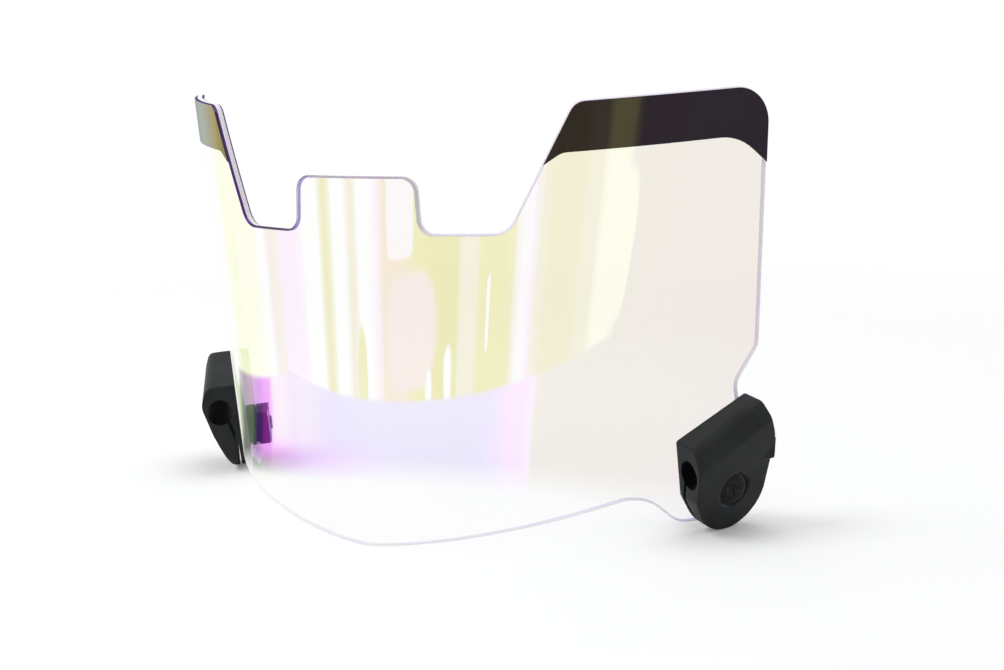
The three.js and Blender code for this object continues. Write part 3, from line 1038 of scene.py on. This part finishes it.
@dataclass(frozen=True)
class Mount:
    """One mount: its frame is on the lens's outer face at the screw, X to the rear, Y up the wing, Z out."""

    side: Side
    swivel: float

    @property
    def seat(self) -> Matrix:
        """The mount's frame in millimetres, from its swivel joint."""
        joint = next(j for j in frame["joints"] if j["name"] == f"{self.side.prefix}_clip_swivel")
        out = Vector(joint["axis"]).normalized()
        along = Vector((0, 0, 1)).cross(out).normalized()
        axes = Matrix((along, out.cross(along), out)).transposed().to_4x4()
        return Matrix.Translation(Vector(joint["pos_m"]) / MM) @ axes

    @property
    def fixed_place(self) -> Matrix:
        """Where a piece made for the left side goes, if it stays on the lens."""
        return self.seat @ Matrix.Diagonal((self.side.value, 1, 1, 1))

    @property
    def turned_place(self) -> Matrix:
        """Where a piece made for the left side goes, if it swivels with the clip."""
        return self.seat @ Matrix.Rotation(self.swivel, 4, "Z") @ Matrix.Diagonal((self.side.value, 1, 1, 1))


@dataclass(frozen=True)
class ClipBody:
    """The moulded nylon clip: a round foot about the screw, a top face along the bar, a bore and a slit."""

    bar_angle: float = math.radians(27.5)
    bore_diameter: float = 7.8
    bore_height: float = 12.6
    bore_stand_off: float = 6.5
    bore_taper: float = math.radians(2.5)
    foot_radius: float = 13.1
    rear_side: float = 12.4
    top_height: float = 20.7
    rear_reach: float = 18.0
    shoulder_radius: float = 9.0
    front_reach: float = 14.3
    front_angle: float = math.radians(188)
    chin_angle: float = math.radians(210)
    edge_radius: float = 1.0
    chin_radius: float = 4.0
    stand_off: float = 0.6
    face_stand_off: float = 7.9
    face_angle: float = math.radians(17)
    face_taper: float = math.radians(4)
    bulge_height: float = 14.8
    bulge_radius: float = 4.5
    top_depth: float = 10.3
    top_radius: float = 3.0
    slit_width: float = 0.8
    slit_stand_off: float = 2.4
    slit_bend_height: float = 3.2
    slit_top_stand_off: float = 4.2
    slit_top_height: float = 9.8
    lug_width: float = 3.6
    lug_tall: float = 6.6
    lug_overhang: float = 0.7
    lug_height: float = 11.2
    lug_stand_off: float = 5.8
    lug_radius: float = 0.6
    recess_diameter: float = 11.1
    jaw_thickness: float = 1.4
    shank_hole: float = 5.4
    pad_pocket: float = 13.6
    pad_depth: float = 1.2
    overrun: float = 2.0
    voxel: float = 0.24
    quick_voxels: int = 2
    smoothing: float = 0.5
    smooth_rounds: int = 5
    faces_kept: float = 0.5
    wall_margin: float = 0.3
    end_slant: float = 0.8
    smooth_angle: float = math.radians(80)

    @property
    def bore_front(self) -> float:
        """How far along the bar the front of the bore lies."""
        return (self.bore_height * math.sin(self.bar_angle) - self.front_reach) / math.cos(self.bar_angle)

    def face_at(self, height: float) -> float:
        """The stand-off of the outer face at a height across the bar."""
        return self.face_stand_off + height * math.tan(self.face_angle)

    def slit_at(self, height: float) -> float:
        """The stand-off of the middle of the slit at a height across the bar."""
        share = (height - self.slit_bend_height) / (self.slit_top_height - self.slit_bend_height)
        lean = self.slit_top_stand_off - self.slit_stand_off
        return self.slit_stand_off + min(max(share, 0.0), 1.0) * lean

    def bar_frame(self, taper: float) -> Matrix:
        """Finds the frame of heights across the bar, stand-offs and lengths along it.

        Args:
            taper: How far it turns towards the lens at its rear, about the front of the bore.

        Returns:
            The frame's place in the mount's frame.
        """
        axis = Vector((math.cos(self.bar_angle), math.sin(self.bar_angle), 0))
        across = Vector((-math.sin(self.bar_angle), math.cos(self.bar_angle), 0))
        basis = Matrix((across, Vector((0, 0, 1)), axis)).transposed().to_4x4()
        return Matrix.Translation(axis * self.bore_front) @ Matrix.Rotation(taper, 4, across) @ basis

    def along_bar(self, name: str, points: Sequence[Point], taper: float = 0.0) -> Piece:
        """Makes a prism along the bar.

        Args:
            name: The prism's name.
            points: Its section, in heights across the bar and stand-offs.
            taper: How far it turns towards the lens at its rear, about the front of the bore.

        Returns:
            The prism in the mount's frame.
        """
        length = self.rear_reach + self.foot_radius + self.overrun
        piece = prism(name, points, -length - self.bore_front, length - self.bore_front)
        piece.data.transform(self.bar_frame(taper))
        tidy_mesh(piece)
        return piece

    def side_outline(self) -> list[Point]:
        """The clip's outline as seen from outside."""
        return rounded_loop(sides_to_corners([
            (-QUARTER, self.foot_radius, self.rear_side),
            (0.0, self.rear_side, self.shoulder_radius),
            (self.bar_angle, self.rear_reach, self.edge_radius),
            (self.bar_angle + QUARTER, self.top_height, self.edge_radius),
            (self.front_angle, self.front_reach, self.chin_radius),
            (self.chin_angle, self.foot_radius, self.foot_radius),
        ]))

    def shell(self) -> Piece:
        """The clip's outer shape: its outline, crossed with its straight inner and tapered outer section."""
        low = -self.foot_radius - self.overrun
        high = self.face_at(self.top_height)
        piece = prism("clip", self.side_outline(), 0.0, high)
        top = self.top_height + self.overrun
        inner = [(low, self.stand_off), (top, self.stand_off), (top, high), (low, high)]
        outer = rounded_loop([
            corner(low, -self.top_height),
            corner(self.top_height, -self.top_height),
            corner(self.top_height, self.top_depth, self.top_radius),
            corner(self.bulge_height, self.face_at(self.bulge_height), self.bulge_radius),
            corner(low, self.face_at(low)),
        ])
        cut(piece, self.along_bar("inner_side", inner), "INTERSECT")
        cut(piece, self.along_bar("outer_side", outer, self.face_taper), "INTERSECT")
        reach = self.rear_side + self.lug_overhang
        lug_low, lug_high = self.lug_height - self.lug_tall / 2, self.lug_height + self.lug_tall / 2
        lug = rounded_loop([
            corner(0.0, lug_low), corner(reach, lug_low, self.lug_radius),
            corner(reach, lug_high, self.lug_radius), corner(0.0, lug_high),
        ])
        half = self.lug_width / 2
        cut(piece, prism("lug", lug, self.lug_stand_off - half, self.lug_stand_off + half), "UNION")
        return piece

    def slit_outline(self) -> list[Point]:
        """The slit's section, from the bore down between the two jaws and out at the foot."""
        low = -self.foot_radius - self.overrun
        half = self.slit_width / 2
        rise = self.slit_top_height - self.slit_bend_height
        lean = half / math.cos(math.atan2(self.slit_top_stand_off - self.slit_stand_off, rise))
        outer = [(low, half), (self.slit_bend_height, half), (self.slit_top_height, lean)]
        inner = [(height, -gap) for height, gap in reversed(outer)]
        return [(height, self.slit_at(height) + gap) for height, gap in (*outer, *inner)]

    def shade_bore(self, piece: Piece) -> None:
        """Gives the walls of the bore and the slit the clip's second material, a near-black nylon that paints
        the shade in them, and the rest the first.

        Args:
            piece: The clip, in the mount's frame.
        """
        to_bore = self.bar_frame(self.bore_taper).inverted()
        to_slit = self.bar_frame(0.0).inverted()
        bore_reach = self.bore_diameter / 2 + self.wall_margin
        slit_reach = self.slit_width / 2 + self.wall_margin
        for polygon in piece.data.polygons:
            height, stand_off, _ = to_bore @ polygon.center
            in_bore = math.hypot(height - self.bore_height, stand_off - self.bore_stand_off) < bore_reach
            height, stand_off, _ = to_slit @ polygon.center
            in_slit = height < self.bore_height and abs(stand_off - self.slit_at(height)) < slit_reach
            is_wall = abs((to_slit.to_3x3() @ polygon.normal).z) < self.end_slant
            polygon.material_index = 1 if is_wall and (in_bore or in_slit) else 0

    def build(self, mount: Mount, finishes: Finishes) -> None:
        """Makes one clip body, with every edge a little rounded as a moulding's are.

        Args:
            mount: Where it goes.
            finishes: The visor's materials.
        """
        piece = self.shell()
        high = self.face_at(self.top_height)
        recess_seat = self.slit_stand_off + self.slit_width / 2 + self.jaw_thickness
        bore = circle_points(self.bore_height, self.bore_stand_off, self.bore_diameter)
        cut(piece, self.along_bar("bore", bore, self.bore_taper))
        cut(piece, self.along_bar("slit", self.slit_outline()))
        for name, diameter, low, top in (
            ("shank", self.shank_hole, -self.overrun, high),
            ("recess", self.recess_diameter, recess_seat, high),
            ("pocket", self.pad_pocket, -self.overrun, self.pad_depth),
        ):
            cut(piece, prism(name, circle_points(0, 0, diameter), low, top))
        voxel = self.voxel * 1
        apply_modifier(piece, "REMESH", mode="VOXEL", voxel_size=voxel)
        apply_modifier(piece, "SMOOTH", factor=self.smoothing, iterations=self.smooth_rounds)
        apply_modifier(piece, "DECIMATE", ratio=self.faces_kept)
        piece.data.materials.clear()
        # Painted shade: the walls of the bore and the slit get the near-black nylon.
        self.shade_bore(piece)
        side = mount.side.prefix
        piece.name = piece.data.name = f"{side}_bar_clip"
        settle(piece, mount.turned_place, self.smooth_angle)
        dress(piece, "black_nylon", f"{side}_clip", f"{side}_clip_body", finishes.nylon, finishes.bore_nylon)


@dataclass(frozen=True)
class ScrewStack:
    """The clamp screw and what it passes through, from the head out to the nut."""

    lens: Lens = Lens()
    screw_diameter: float = 4.8
    tail: float = 0.7
    chamfer: float = 0.35
    head_diameter: float = 9.0
    head_thickness: float = 2.0
    rim_thickness: float = 0.8
    crown_steps: int = 12
    cross_length: float = 4.8
    cross_width: float = 1.1
    cross_depth: float = 1.3
    cross_foot_length: float = 2.16
    cross_foot_width: float = 0.88
    cross_overrun: float = 0.1
    washer_diameter: float = 10.0
    washer_thickness: float = 0.5
    washer_edge: float = 0.12
    pad_diameter: float = 13.0
    pad_thickness: float = 1.0
    pad_edge: float = 0.25
    bush_edge: float = 0.15
    plate_length: float = 17.0
    plate_width: float = 11.0
    plate_thickness: float = 3.8
    plate_corner: float = 1.5
    plate_edge: float = 0.3
    plate_floor: float = 1.2
    nut_side: float = 8.0
    nut_thickness: float = 2.7
    nut_corner: float = 0.4
    nut_edge: float = 0.2
    recess_seat: float = 4.2
    seat_gap: float = 0.1
    turn_gap: float = 0.3
    overrun: float = 2.0
    smooth_angle: float = math.radians(35)

    @property
    def shank_hole(self) -> float:
        """The diameter of every hole that the screw passes through."""
        return self.screw_diameter + 2 * self.turn_gap

    @property
    def head_seat(self) -> float:
        """The stand-off of the underside of the head."""
        return self.recess_seat + self.washer_thickness + 2 * self.seat_gap

    @property
    def inner_pad_face(self) -> float:
        """The stand-off of the inner pad's face on the lens."""
        return -self.lens.thickness - self.seat_gap

    @property
    def plate_face(self) -> float:
        """The stand-off of the nut plate's face on the pad."""
        return self.inner_pad_face - self.pad_thickness - self.seat_gap

    @property
    def nut_face(self) -> float:
        """The stand-off of the nut's face in the plate's pocket."""
        return self.plate_face - self.plate_floor - self.seat_gap

    def screw(self) -> Piece:
        """The pan head screw with a cross recess whose arms narrow to the bottom."""
        tip = self.nut_face - self.nut_thickness - self.tail
        radius, head = self.screw_diameter / 2, self.head_diameter / 2
        top = self.head_seat + self.head_thickness
        rim_top = self.head_seat + self.rim_thickness
        dome = self.head_thickness - self.rim_thickness
        turns = [QUARTER * k / self.crown_steps for k in range(self.crown_steps)]
        crown = [(head * math.cos(turn), rim_top + dome * math.sin(turn)) for turn in turns]
        profile = [
            (0.0, tip), (radius - self.chamfer, tip), (radius, tip + self.chamfer), (radius, self.head_seat),
            (head - self.chamfer / 2, self.head_seat), (head, self.head_seat + self.chamfer / 2),
            *crown, (0.0, top),
        ]
        piece = turned("screw", profile)
        for turn in (0.0, QUARTER):
            cut(piece, self.recess_arm(top, turn))
        return piece

    def recess_arm(self, top: float, turn: float) -> Piece:
        """Makes the tool for one pair of arms of the cross recess.

        Args:
            top: The stand-off of the top of the head.
            turn: The direction of the arms.

        Returns:
            The tool, narrower at its foot than at the top of the head.
        """
        tool = added("recess", bpy.ops.mesh.primitive_cube_add, size=1)
        foot = (self.cross_foot_length / 2, self.cross_foot_width / 2, top - self.cross_depth)
        mouth = (self.cross_length / 2, self.cross_width / 2, top + self.cross_overrun)
        for vertex in tool.data.vertices:
            reach, width, z = foot if vertex.co.z < 0 else mouth
            vertex.co = (math.copysign(reach, vertex.co.x), math.copysign(width, vertex.co.y), z)
        tool.data.transform(Matrix.Rotation(turn, 4, "Z"))
        return tool

    def drill(self, piece: Piece, low: float, high: float) -> None:
        """Drills the screw's hole through a piece that lies between two stand-offs."""
        hole = circle_points(0, 0, self.shank_hole)
        cut(piece, prism("hole", hole, low - self.overrun, high + self.overrun))

    def nut_plate(self) -> Piece:
        """The nylon plate with the pocket that keeps the nut from turning."""
        inner = self.plate_face - self.plate_thickness
        outline = rectangle(self.plate_length, self.plate_width, self.plate_corner)
        piece = prism("plate", outline, inner, self.plate_face)
        side = self.nut_side + 2 * self.turn_gap
        floor = self.plate_face - self.plate_floor
        cut(piece, prism("pocket", rectangle(side, side), inner - self.overrun, floor))
        self.drill(piece, inner, self.plate_face)
        soften(piece, self.plate_edge)
        return piece

    def square_nut(self) -> Piece:
        """The square nut."""
        low = self.nut_face - self.nut_thickness
        piece = prism("nut", rectangle(self.nut_side, self.nut_side, self.nut_corner), low, self.nut_face)
        self.drill(piece, low, self.nut_face)
        soften(piece, self.nut_edge, segments=2)
        return piece

    def pad(self, low: float) -> Piece:
        """A rubber pad whose lower face is at a stand-off."""
        return ring(self.pad_diameter, self.shank_hole, low, low + self.pad_thickness, self.pad_edge)

    def washer(self) -> Piece:
        """The washer under the head."""
        low = self.recess_seat + self.seat_gap
        return ring(self.washer_diameter, self.shank_hole, low, low + self.washer_thickness, self.washer_edge)

    def bush(self) -> Piece:
        """The bush in the lens's hole."""
        diameter = self.lens.hole_diameter - 2 * self.turn_gap
        return ring(diameter, self.shank_hole, -self.lens.thickness, 0.0, self.bush_edge)

    def build(self, mount: Mount, finishes: Finishes) -> None:
        """Makes every piece of one stack.

        Args:
            mount: Where the stack goes.
            finishes: The visor's materials.
        """
        side = mount.side.prefix
        inner_pad_low = self.inner_pad_face - self.pad_thickness
        steel, nylon, rubber = finishes.black_steel, finishes.nylon, finishes.rubber
        for name, piece, slot, body, node, material in (
            ("pan_screw", self.screw(), "black_steel", "screw", "clamp_screw", steel),
            ("washer", self.washer(), "black_steel", "washer", "screw_washer", steel),
            ("outer_rubber_pad", self.pad(self.seat_gap), "black_rubber", "", "outer_pad", rubber),
            ("inner_rubber_pad", self.pad(inner_pad_low), "black_rubber", "", "inner_pad", rubber),
            ("nylon_bush", self.bush(), "black_nylon", "", "lens_bush", nylon),
            ("nut_holder", self.nut_plate(), "black_nylon", "", "nut_plate", nylon),
            ("steel_nut", self.square_nut(), "zinc_steel", "", "square_nut", finishes.zinc_steel),
        ):
            piece.name = piece.data.name = f"{side}_{name}"
            settle(piece, mount.turned_place if body else mount.fixed_place, self.smooth_angle)
            dress(piece, slot, f"{side}_{body}" if body else "lens_assembly", f"{side}_{node}", material)


# The studio


class Tone(Enum):
    """What a stretch of the room or the board before the lens looks like in its coat."""

    DUSK = (0.13, 0.08, 0.03)
    OLIVE = (0.28, 0.24, 0.10)
    SAND = (0.50, 0.36, 0.50)
    STONE = (0.34, 0.18, 0.58)
    ASH = (0.72, 0.66, 0.50)
    PEACH = (0.60, 0.06, 0.40)
    PINK = (0.68, 0.16, 0.62)
    ROSE = (0.95, 0.50, 0.95)
    LILAC = (0.95, 0.56, 1.00)
    LEMON = (1.00, 1.00, 0.42)
    CREAM = (1.00, 0.98, 0.74)
    WHITE = (1.00, 1.00, 1.00)
    SMOKE = (0.62, 0.62, 0.48)
    GREY = (0.20, 0.21, 0.20)
    PURPLE = (0.10, 0.02, 0.34)
    MAGENTA = (0.60, 0.02, 0.90)
    FUCHSIA = (1.00, 0.10, 1.30)
    BLUSH = (0.90, 0.70, 0.90)
    MAUVE = (0.60, 0.36, 0.95)
    WHEAT = (0.40, 0.26, 0.34)
    VIOLET = (0.14, 0.02, 0.98)
    SLATE = (0.38, 0.22, 0.62)


def share_of_turn(degrees: float) -> float:
    """A direction as a share of a turn: 0.5 for 0 degrees, the front, and 0.75 for 90 degrees, the left."""
    return degrees / 360 + 0.5


@dataclass(frozen=True)
class Band:
    """A stretch in one tone between two directions, in degrees."""

    start: float
    end: float
    tone: Tone


def band_stops(bands: Sequence[Band]) -> Stops:
    """The stops of a ramp over a turn: two for each band, or one if it starts where it ends."""
    turns = [(turn, band.tone) for band in bands for turn in sorted({band.start, band.end})]
    return [(share_of_turn(turn), tone.value) for turn, tone in turns]


@dataclass(frozen=True)
class Card:
    """A shape in the room that the lens mirrors, round where its power is 2 and squarer above.

    Its mask is full where the two powers add up to less than full, and gone where they pass faded.
    """

    azimuth: float
    half_width: float
    height: float
    half_height: float
    tone: Tone
    power: float = 2.0
    faded: float = 1.25
    full: float = 0.75

    def mask(self, pad: NodePad, share: Socket, height: Socket) -> Socket:
        """Marks the card on the room's wall.

        Args:
            pad: The hand for the material's nodes.
            share: The direction of a place on the wall, as a share of a turn.
            height: The height of the place.

        Returns:
            1 on the card and 0 outside it, with a soft edge.
        """
        middle = share_of_turn(self.azimuth)
        across = pad.share(share, middle, middle + self.half_width / 360, clamp=False)
        up = pad.share(height, self.height, self.height + self.half_height, clamp=False)
        parts = [pad.maths("POWER", pad.maths("ABSOLUTE", part), self.power) for part in (across, up)]
        return pad.share(pad.maths("ADD", *parts), self.faded, self.full)


@dataclass(frozen=True)
class Lamp:
    """A square lamp that looks at the visor, and that isn't seen through the lens."""

    name: str
    place: tuple[float, float, float]
    size: float
    power: float
    colour: Colour

    def build(self) -> None:
        """Makes the lamp."""
        data = bpy.data.lights.new(self.name, "AREA")
        data.size = self.size
        data.energy = self.power
        data.color = self.colour
        lamp = bpy.data.objects.new(self.name, data)
        look = Vector(self.place).to_track_quat("Z", "Y")
        lamp.matrix_world = Matrix.Translation(self.place) @ look.to_matrix().to_4x4()
        lamp.visible_transmission = False
        bpy.context.scene.collection.objects.link(lamp)


@dataclass(frozen=True)
class Studio:
    """Camera, world, a broad lamp at the upper left and a cooler one overhead, floor and mirrored room."""

    camera_place: tuple[float, float, float] = (0.21024, -0.35255, 0.12952)
    camera_azimuth: float = math.radians(27.41)
    camera_elevation: float = math.radians(10.39)
    camera_roll: float = math.radians(-1.155)
    camera_lens: float = 50.03
    sensor_width: float = 36.0
    nearest: float = 0.01
    furthest: float = 50.0
    world_light: Colour = (1.0, 0.995, 0.985)
    world_strength: float = 0.57
    lamps: tuple[Lamp, ...] = (
        Lamp("key", (-0.75, -0.55, 1.0), 0.7, 6.0, (0.99, 1.0, 1.0)),
        Lamp("overhead", (0.12, 0.25, 1.2), 0.8, 3.6, (0.90, 0.94, 1.0)),
    )
    floor_size: float = 12.0
    floor_cells: int = 8
    floor_white: float = 0.93
    floor_lift: float = 0.115
    floor_fade: tuple[float, float] = (0.16, 0.61)
    room_radius: float = 1.2
    room_height: float = 1.8
    room_sides: int = 128
    unmirrored_depth: float = 0.5
    board_left: float = -0.238
    board_right: float = 0.250
    board_front: float = -0.217
    board_curve: float = 1.8
    board_edge: float = 0.012
    sheen_centre: tuple[float, float] = (0.0, -0.010)
    sheen_fade: tuple[float, float] = (0.085, 0.115)
    blush_fade: tuple[float, float] = (0.140, 0.110)
    blush_turns: tuple[float, ...] = (-82.8, -75.6, -46.8, -21.6)
    zone_centre: float = 0.028
    room_right: tuple[Band, ...] = (
        Band(-180, -114, Tone.WHITE), Band(-105, -85, Tone.LEMON), Band(-80, -77, Tone.WHITE),
        Band(-75, -69, Tone.ASH), Band(-67, -58, Tone.LILAC), Band(-54, -47, Tone.WHITE),
        Band(-46, -43, Tone.OLIVE), Band(-41, -36, Tone.WHITE), Band(-35, -32, Tone.SAND),
        Band(-30, -26, Tone.WHITE), Band(-23, -23, Tone.ROSE), Band(-21, -14, Tone.PEACH),
        Band(-8, -8, Tone.OLIVE), Band(0, 0, Tone.DUSK),
    )
    room_left: tuple[Band, ...] = (
        Band(0, 7, Tone.DUSK), Band(9, 14, Tone.SAND), Band(15.5, 26, Tone.OLIVE), Band(28, 28, Tone.SAND),
        Band(30, 30, Tone.WHITE), Band(34, 34, Tone.LILAC), Band(36, 36, Tone.SAND), Band(40, 48, Tone.WHEAT),
        Band(52, 55, Tone.SAND), Band(57, 63, Tone.CREAM), Band(66, 105, Tone.STONE),
        Band(112, 160, Tone.SMOKE), Band(180, 180, Tone.WHITE),
    )
    cards: tuple[Card, ...] = (
        Card(-14.5, 4.5, 0.0, 0.070, Tone.BLUSH, 8.0),
        Card(-30.0, 2.0, -0.200, 0.060, Tone.OLIVE),
        Card(-10.0, 9.5, -0.155, 0.068, Tone.PINK, 3.0),
        Card(-3.3, 1.6, -0.228, 0.024, Tone.WHITE, 3.0),
        Card(4.0, 1.6, -0.218, 0.036, Tone.WHITE, 3.0),
        Card(18.5, 1.1, -0.165, 0.045, Tone.WHITE, 4.0),
        Card(64.0, 5.0, -0.175, 0.090, Tone.CREAM, 3.0),
    )
    board_zones: tuple[Band, ...] = (
        Band(-180, -108, Tone.WHITE), Band(-101, -93, Tone.GREY), Band(-89, -86, Tone.PURPLE),
        Band(-84, -80, Tone.MAGENTA), Band(-77, -72, Tone.BLUSH), Band(-66, -60, Tone.MAUVE),
        Band(-48, 18, Tone.VIOLET), Band(28, 34, Tone.FUCHSIA), Band(37, 37, Tone.ROSE),
        Band(39, 105, Tone.SLATE), Band(112, 160, Tone.SMOKE), Band(180, 180, Tone.WHITE),
    )

    def build_camera(self) -> None:
        """Makes the camera and gives it to the scene."""
        data = bpy.data.cameras.new("camera")
        data.lens = self.camera_lens
        data.sensor_width = self.sensor_width
        data.clip_start = self.nearest
        data.clip_end = self.furthest
        camera = bpy.data.objects.new("camera", data)
        azimuth = Matrix.Rotation(self.camera_azimuth, 4, "Z")
        tilt = Matrix.Rotation(QUARTER - self.camera_elevation, 4, "X")
        roll = Matrix.Rotation(self.camera_roll, 4, "Z")
        camera.matrix_world = Matrix.Translation(self.camera_place) @ azimuth @ tilt @ roll
        bpy.context.scene.collection.objects.link(camera)
        bpy.context.scene.camera = camera

    def build_world(self) -> None:
        """Makes a world that is white to the eye and lights the visor evenly."""
        world = bpy.data.worlds.new("studio_world")
        bpy.context.scene.world = world
        world.use_nodes = True
        pad = NodePad(world.node_tree)
        seen = pad.any_ray("Camera", "Glossy", "Transmission")
        light = pad.add("Background", {"Color": self.world_light, "Strength": self.world_strength})
        white = pad.add("Background", {"Color": Tone.WHITE.value, "Strength": 1.0})
        pad.end(pad.mixed(seen, light, white), "ShaderNodeOutputWorld")

    def mirrored_ray(self, pad: NodePad) -> Socket:
        """1 for a ray that a polished face has mirrored on its way, and 0 for any other."""
        rays = pad.node("ShaderNodeLightPath").outputs
        glossy = pad.maths("GREATER_THAN", rays["Glossy Depth"], self.unmirrored_depth)
        return pad.maths("MULTIPLY", glossy, rays["Is Singular Ray"])

    def turn_at(self, pad: NodePad, x: Socket, y: Socket) -> Socket:
        """The direction of a place from zero, as a share of a turn."""
        turn = pad.maths("ARCTAN2", x, pad.maths("MULTIPLY", y, -1.0))
        return pad.share(turn, -math.pi, math.pi)

    def on_board(self, pad: NodePad, x: Socket, y: Socket) -> Socket:
        """Marks the board about the visor, whose front is curved.

        Args:
            pad: The hand for the material's nodes.
            x: How far left a place on the floor is.
            y: How far to the rear the place is.

        Returns:
            1 on the board and 0 outside it, with a soft edge.
        """
        bulge = pad.maths("MULTIPLY", pad.maths("MULTIPLY", x, x), self.board_curve)
        behind = pad.maths("SUBTRACT", y, bulge)
        front = pad.share(behind, self.board_front, self.board_front + self.board_edge)
        left = pad.share(x, self.board_left, self.board_left + self.board_edge)
        right = pad.share(x, self.board_right, self.board_right - self.board_edge)
        return pad.maths("MINIMUM", front, pad.maths("MINIMUM", left, right))

    def board_colour(self, pad: NodePad, x: Socket, y: Socket) -> Socket:
        """Colours the board as the lens mirrors it.

        Args:
            pad: The hand for the material's nodes.
            x: How far left a place on the floor is.
            y: How far to the rear the place is.

        Returns:
            White near the visor, zones by direction further out, and a blush between them at the right.
        """
        centre_x, centre_y = self.sheen_centre
        away = pad.length(pad.maths("SUBTRACT", x, centre_x), pad.maths("SUBTRACT", y, centre_y))
        turn = self.turn_at(pad, pad.maths("SUBTRACT", x, self.zone_centre), y)
        far = pad.share(away, *self.sheen_fade)
        board = pad.blend(far, Tone.WHITE.value, pad.ramp(turn, band_stops(self.board_zones)))
        near = pad.share(away, *self.blush_fade)
        levels = zip(self.blush_turns, (0.0, 1.0, 1.0, 0.0))
        side = pad.ramp(turn, [(share_of_turn(degrees), (level,) * 3) for degrees, level in levels])
        blush = pad.maths("MULTIPLY", pad.maths("MULTIPLY", far, near), side)
        return pad.blend(blush, board, Tone.FUCHSIA.value)

    def build_floor(self) -> None:
        """Makes the pale floor. Mirrored rays see a coloured board instead, and the room beyond it."""
        cells = self.floor_cells
        floor = added(
            "studio_floor", bpy.ops.mesh.primitive_grid_add, x_subdivisions=cells, y_subdivisions=cells,
            size=self.floor_size,
        )
        material, pad = new_material("pale_floor")
        x, y, _ = pad.place()
        seen = pad.any_ray("Camera", "Transmission")
        paint = pad.add("BsdfDiffuse", {"Color": (self.floor_white,) * 3})
        lifted = pad.add("AddShader", {0: paint, 1: pad.glow(strength=self.floor_lift)})
        fading = pad.maths("MULTIPLY", seen, pad.share(pad.length(x, y), *self.floor_fade))
        open_floor = pad.mixed(fading, pad.mixed(seen, paint, lifted), pad.glow())
        sheen = pad.glow(self.board_colour(pad, x, y))
        board = pad.mixed(self.on_board(pad, x, y), pad.add("BsdfTransparent"), sheen)
        pad.end(pad.mixed(self.mirrored_ray(pad), open_floor, board))
        floor.data.materials.append(material)

    def build_room(self) -> None:
        """Makes the round wall of streaks that the lens mirrors, and which nothing else sees."""
        wall = added(
            "mirrored_room", bpy.ops.mesh.primitive_cylinder_add, vertices=self.room_sides,
            radius=self.room_radius, depth=self.room_height, end_fill_type="NOTHING",
        )
        material, pad = new_material("room_streaks")
        x, y, height = pad.place()
        turn = self.turn_at(pad, x, y)
        halves = [pad.ramp(turn, band_stops(bands)) for bands in (self.room_right, self.room_left)]
        colour = pad.blend(pad.maths("GREATER_THAN", turn, share_of_turn(0)), *halves)
        for card in self.cards:
            colour = pad.blend(card.mask(pad, turn, height), colour, card.tone.value)
        pad.end(pad.mixed(self.mirrored_ray(pad), pad.add("BsdfTransparent"), pad.glow(colour)))
        wall.data.materials.append(material)
        for hidden in ("visible_camera", "visible_diffuse", "visible_shadow", "visible_volume_scatter"):
            setattr(wall, hidden, False)

    def build(self) -> None:
        """Makes the whole studio."""
        self.build_camera()
        self.build_world()
        for lamp in self.lamps:
            lamp.build()
        self.build_floor()
        self.build_room()
        bpy.context.scene.view_settings.view_transform = "Standard"
        LOG.info("studio: floor, lamps, room and camera")


def hide_from_mirrors() -> None:
    """Keeps the dark pieces before the lens out of what its coat mirrors."""
    for piece in bpy.data.objects:
        if piece.name.endswith(("_bar_clip", "_pan_screw", "_washer", "_outer_rubber_pad")):
            piece.visible_glossy = False


def main() -> None:
    """Builds the visor piece by piece, then the studio."""
    logging.basicConfig(level=logging.INFO, format="%(name)s: %(message)s")
    finishes = Finishes()
    mounts = [Mount(Side.LEFT, swivel=0.0), Mount(Side.RIGHT, swivel=math.radians(10))]
    Lens().build(finishes, [mount.seat for mount in mounts])
    for mount in mounts:
        WingBand().build(mount.side, finishes)
        ClipBody().build(mount, finishes)
        ScrewStack().build(mount, finishes)
    Studio().build()
    hide_from_mirrors()


if __name__ == "__main__":
    main()
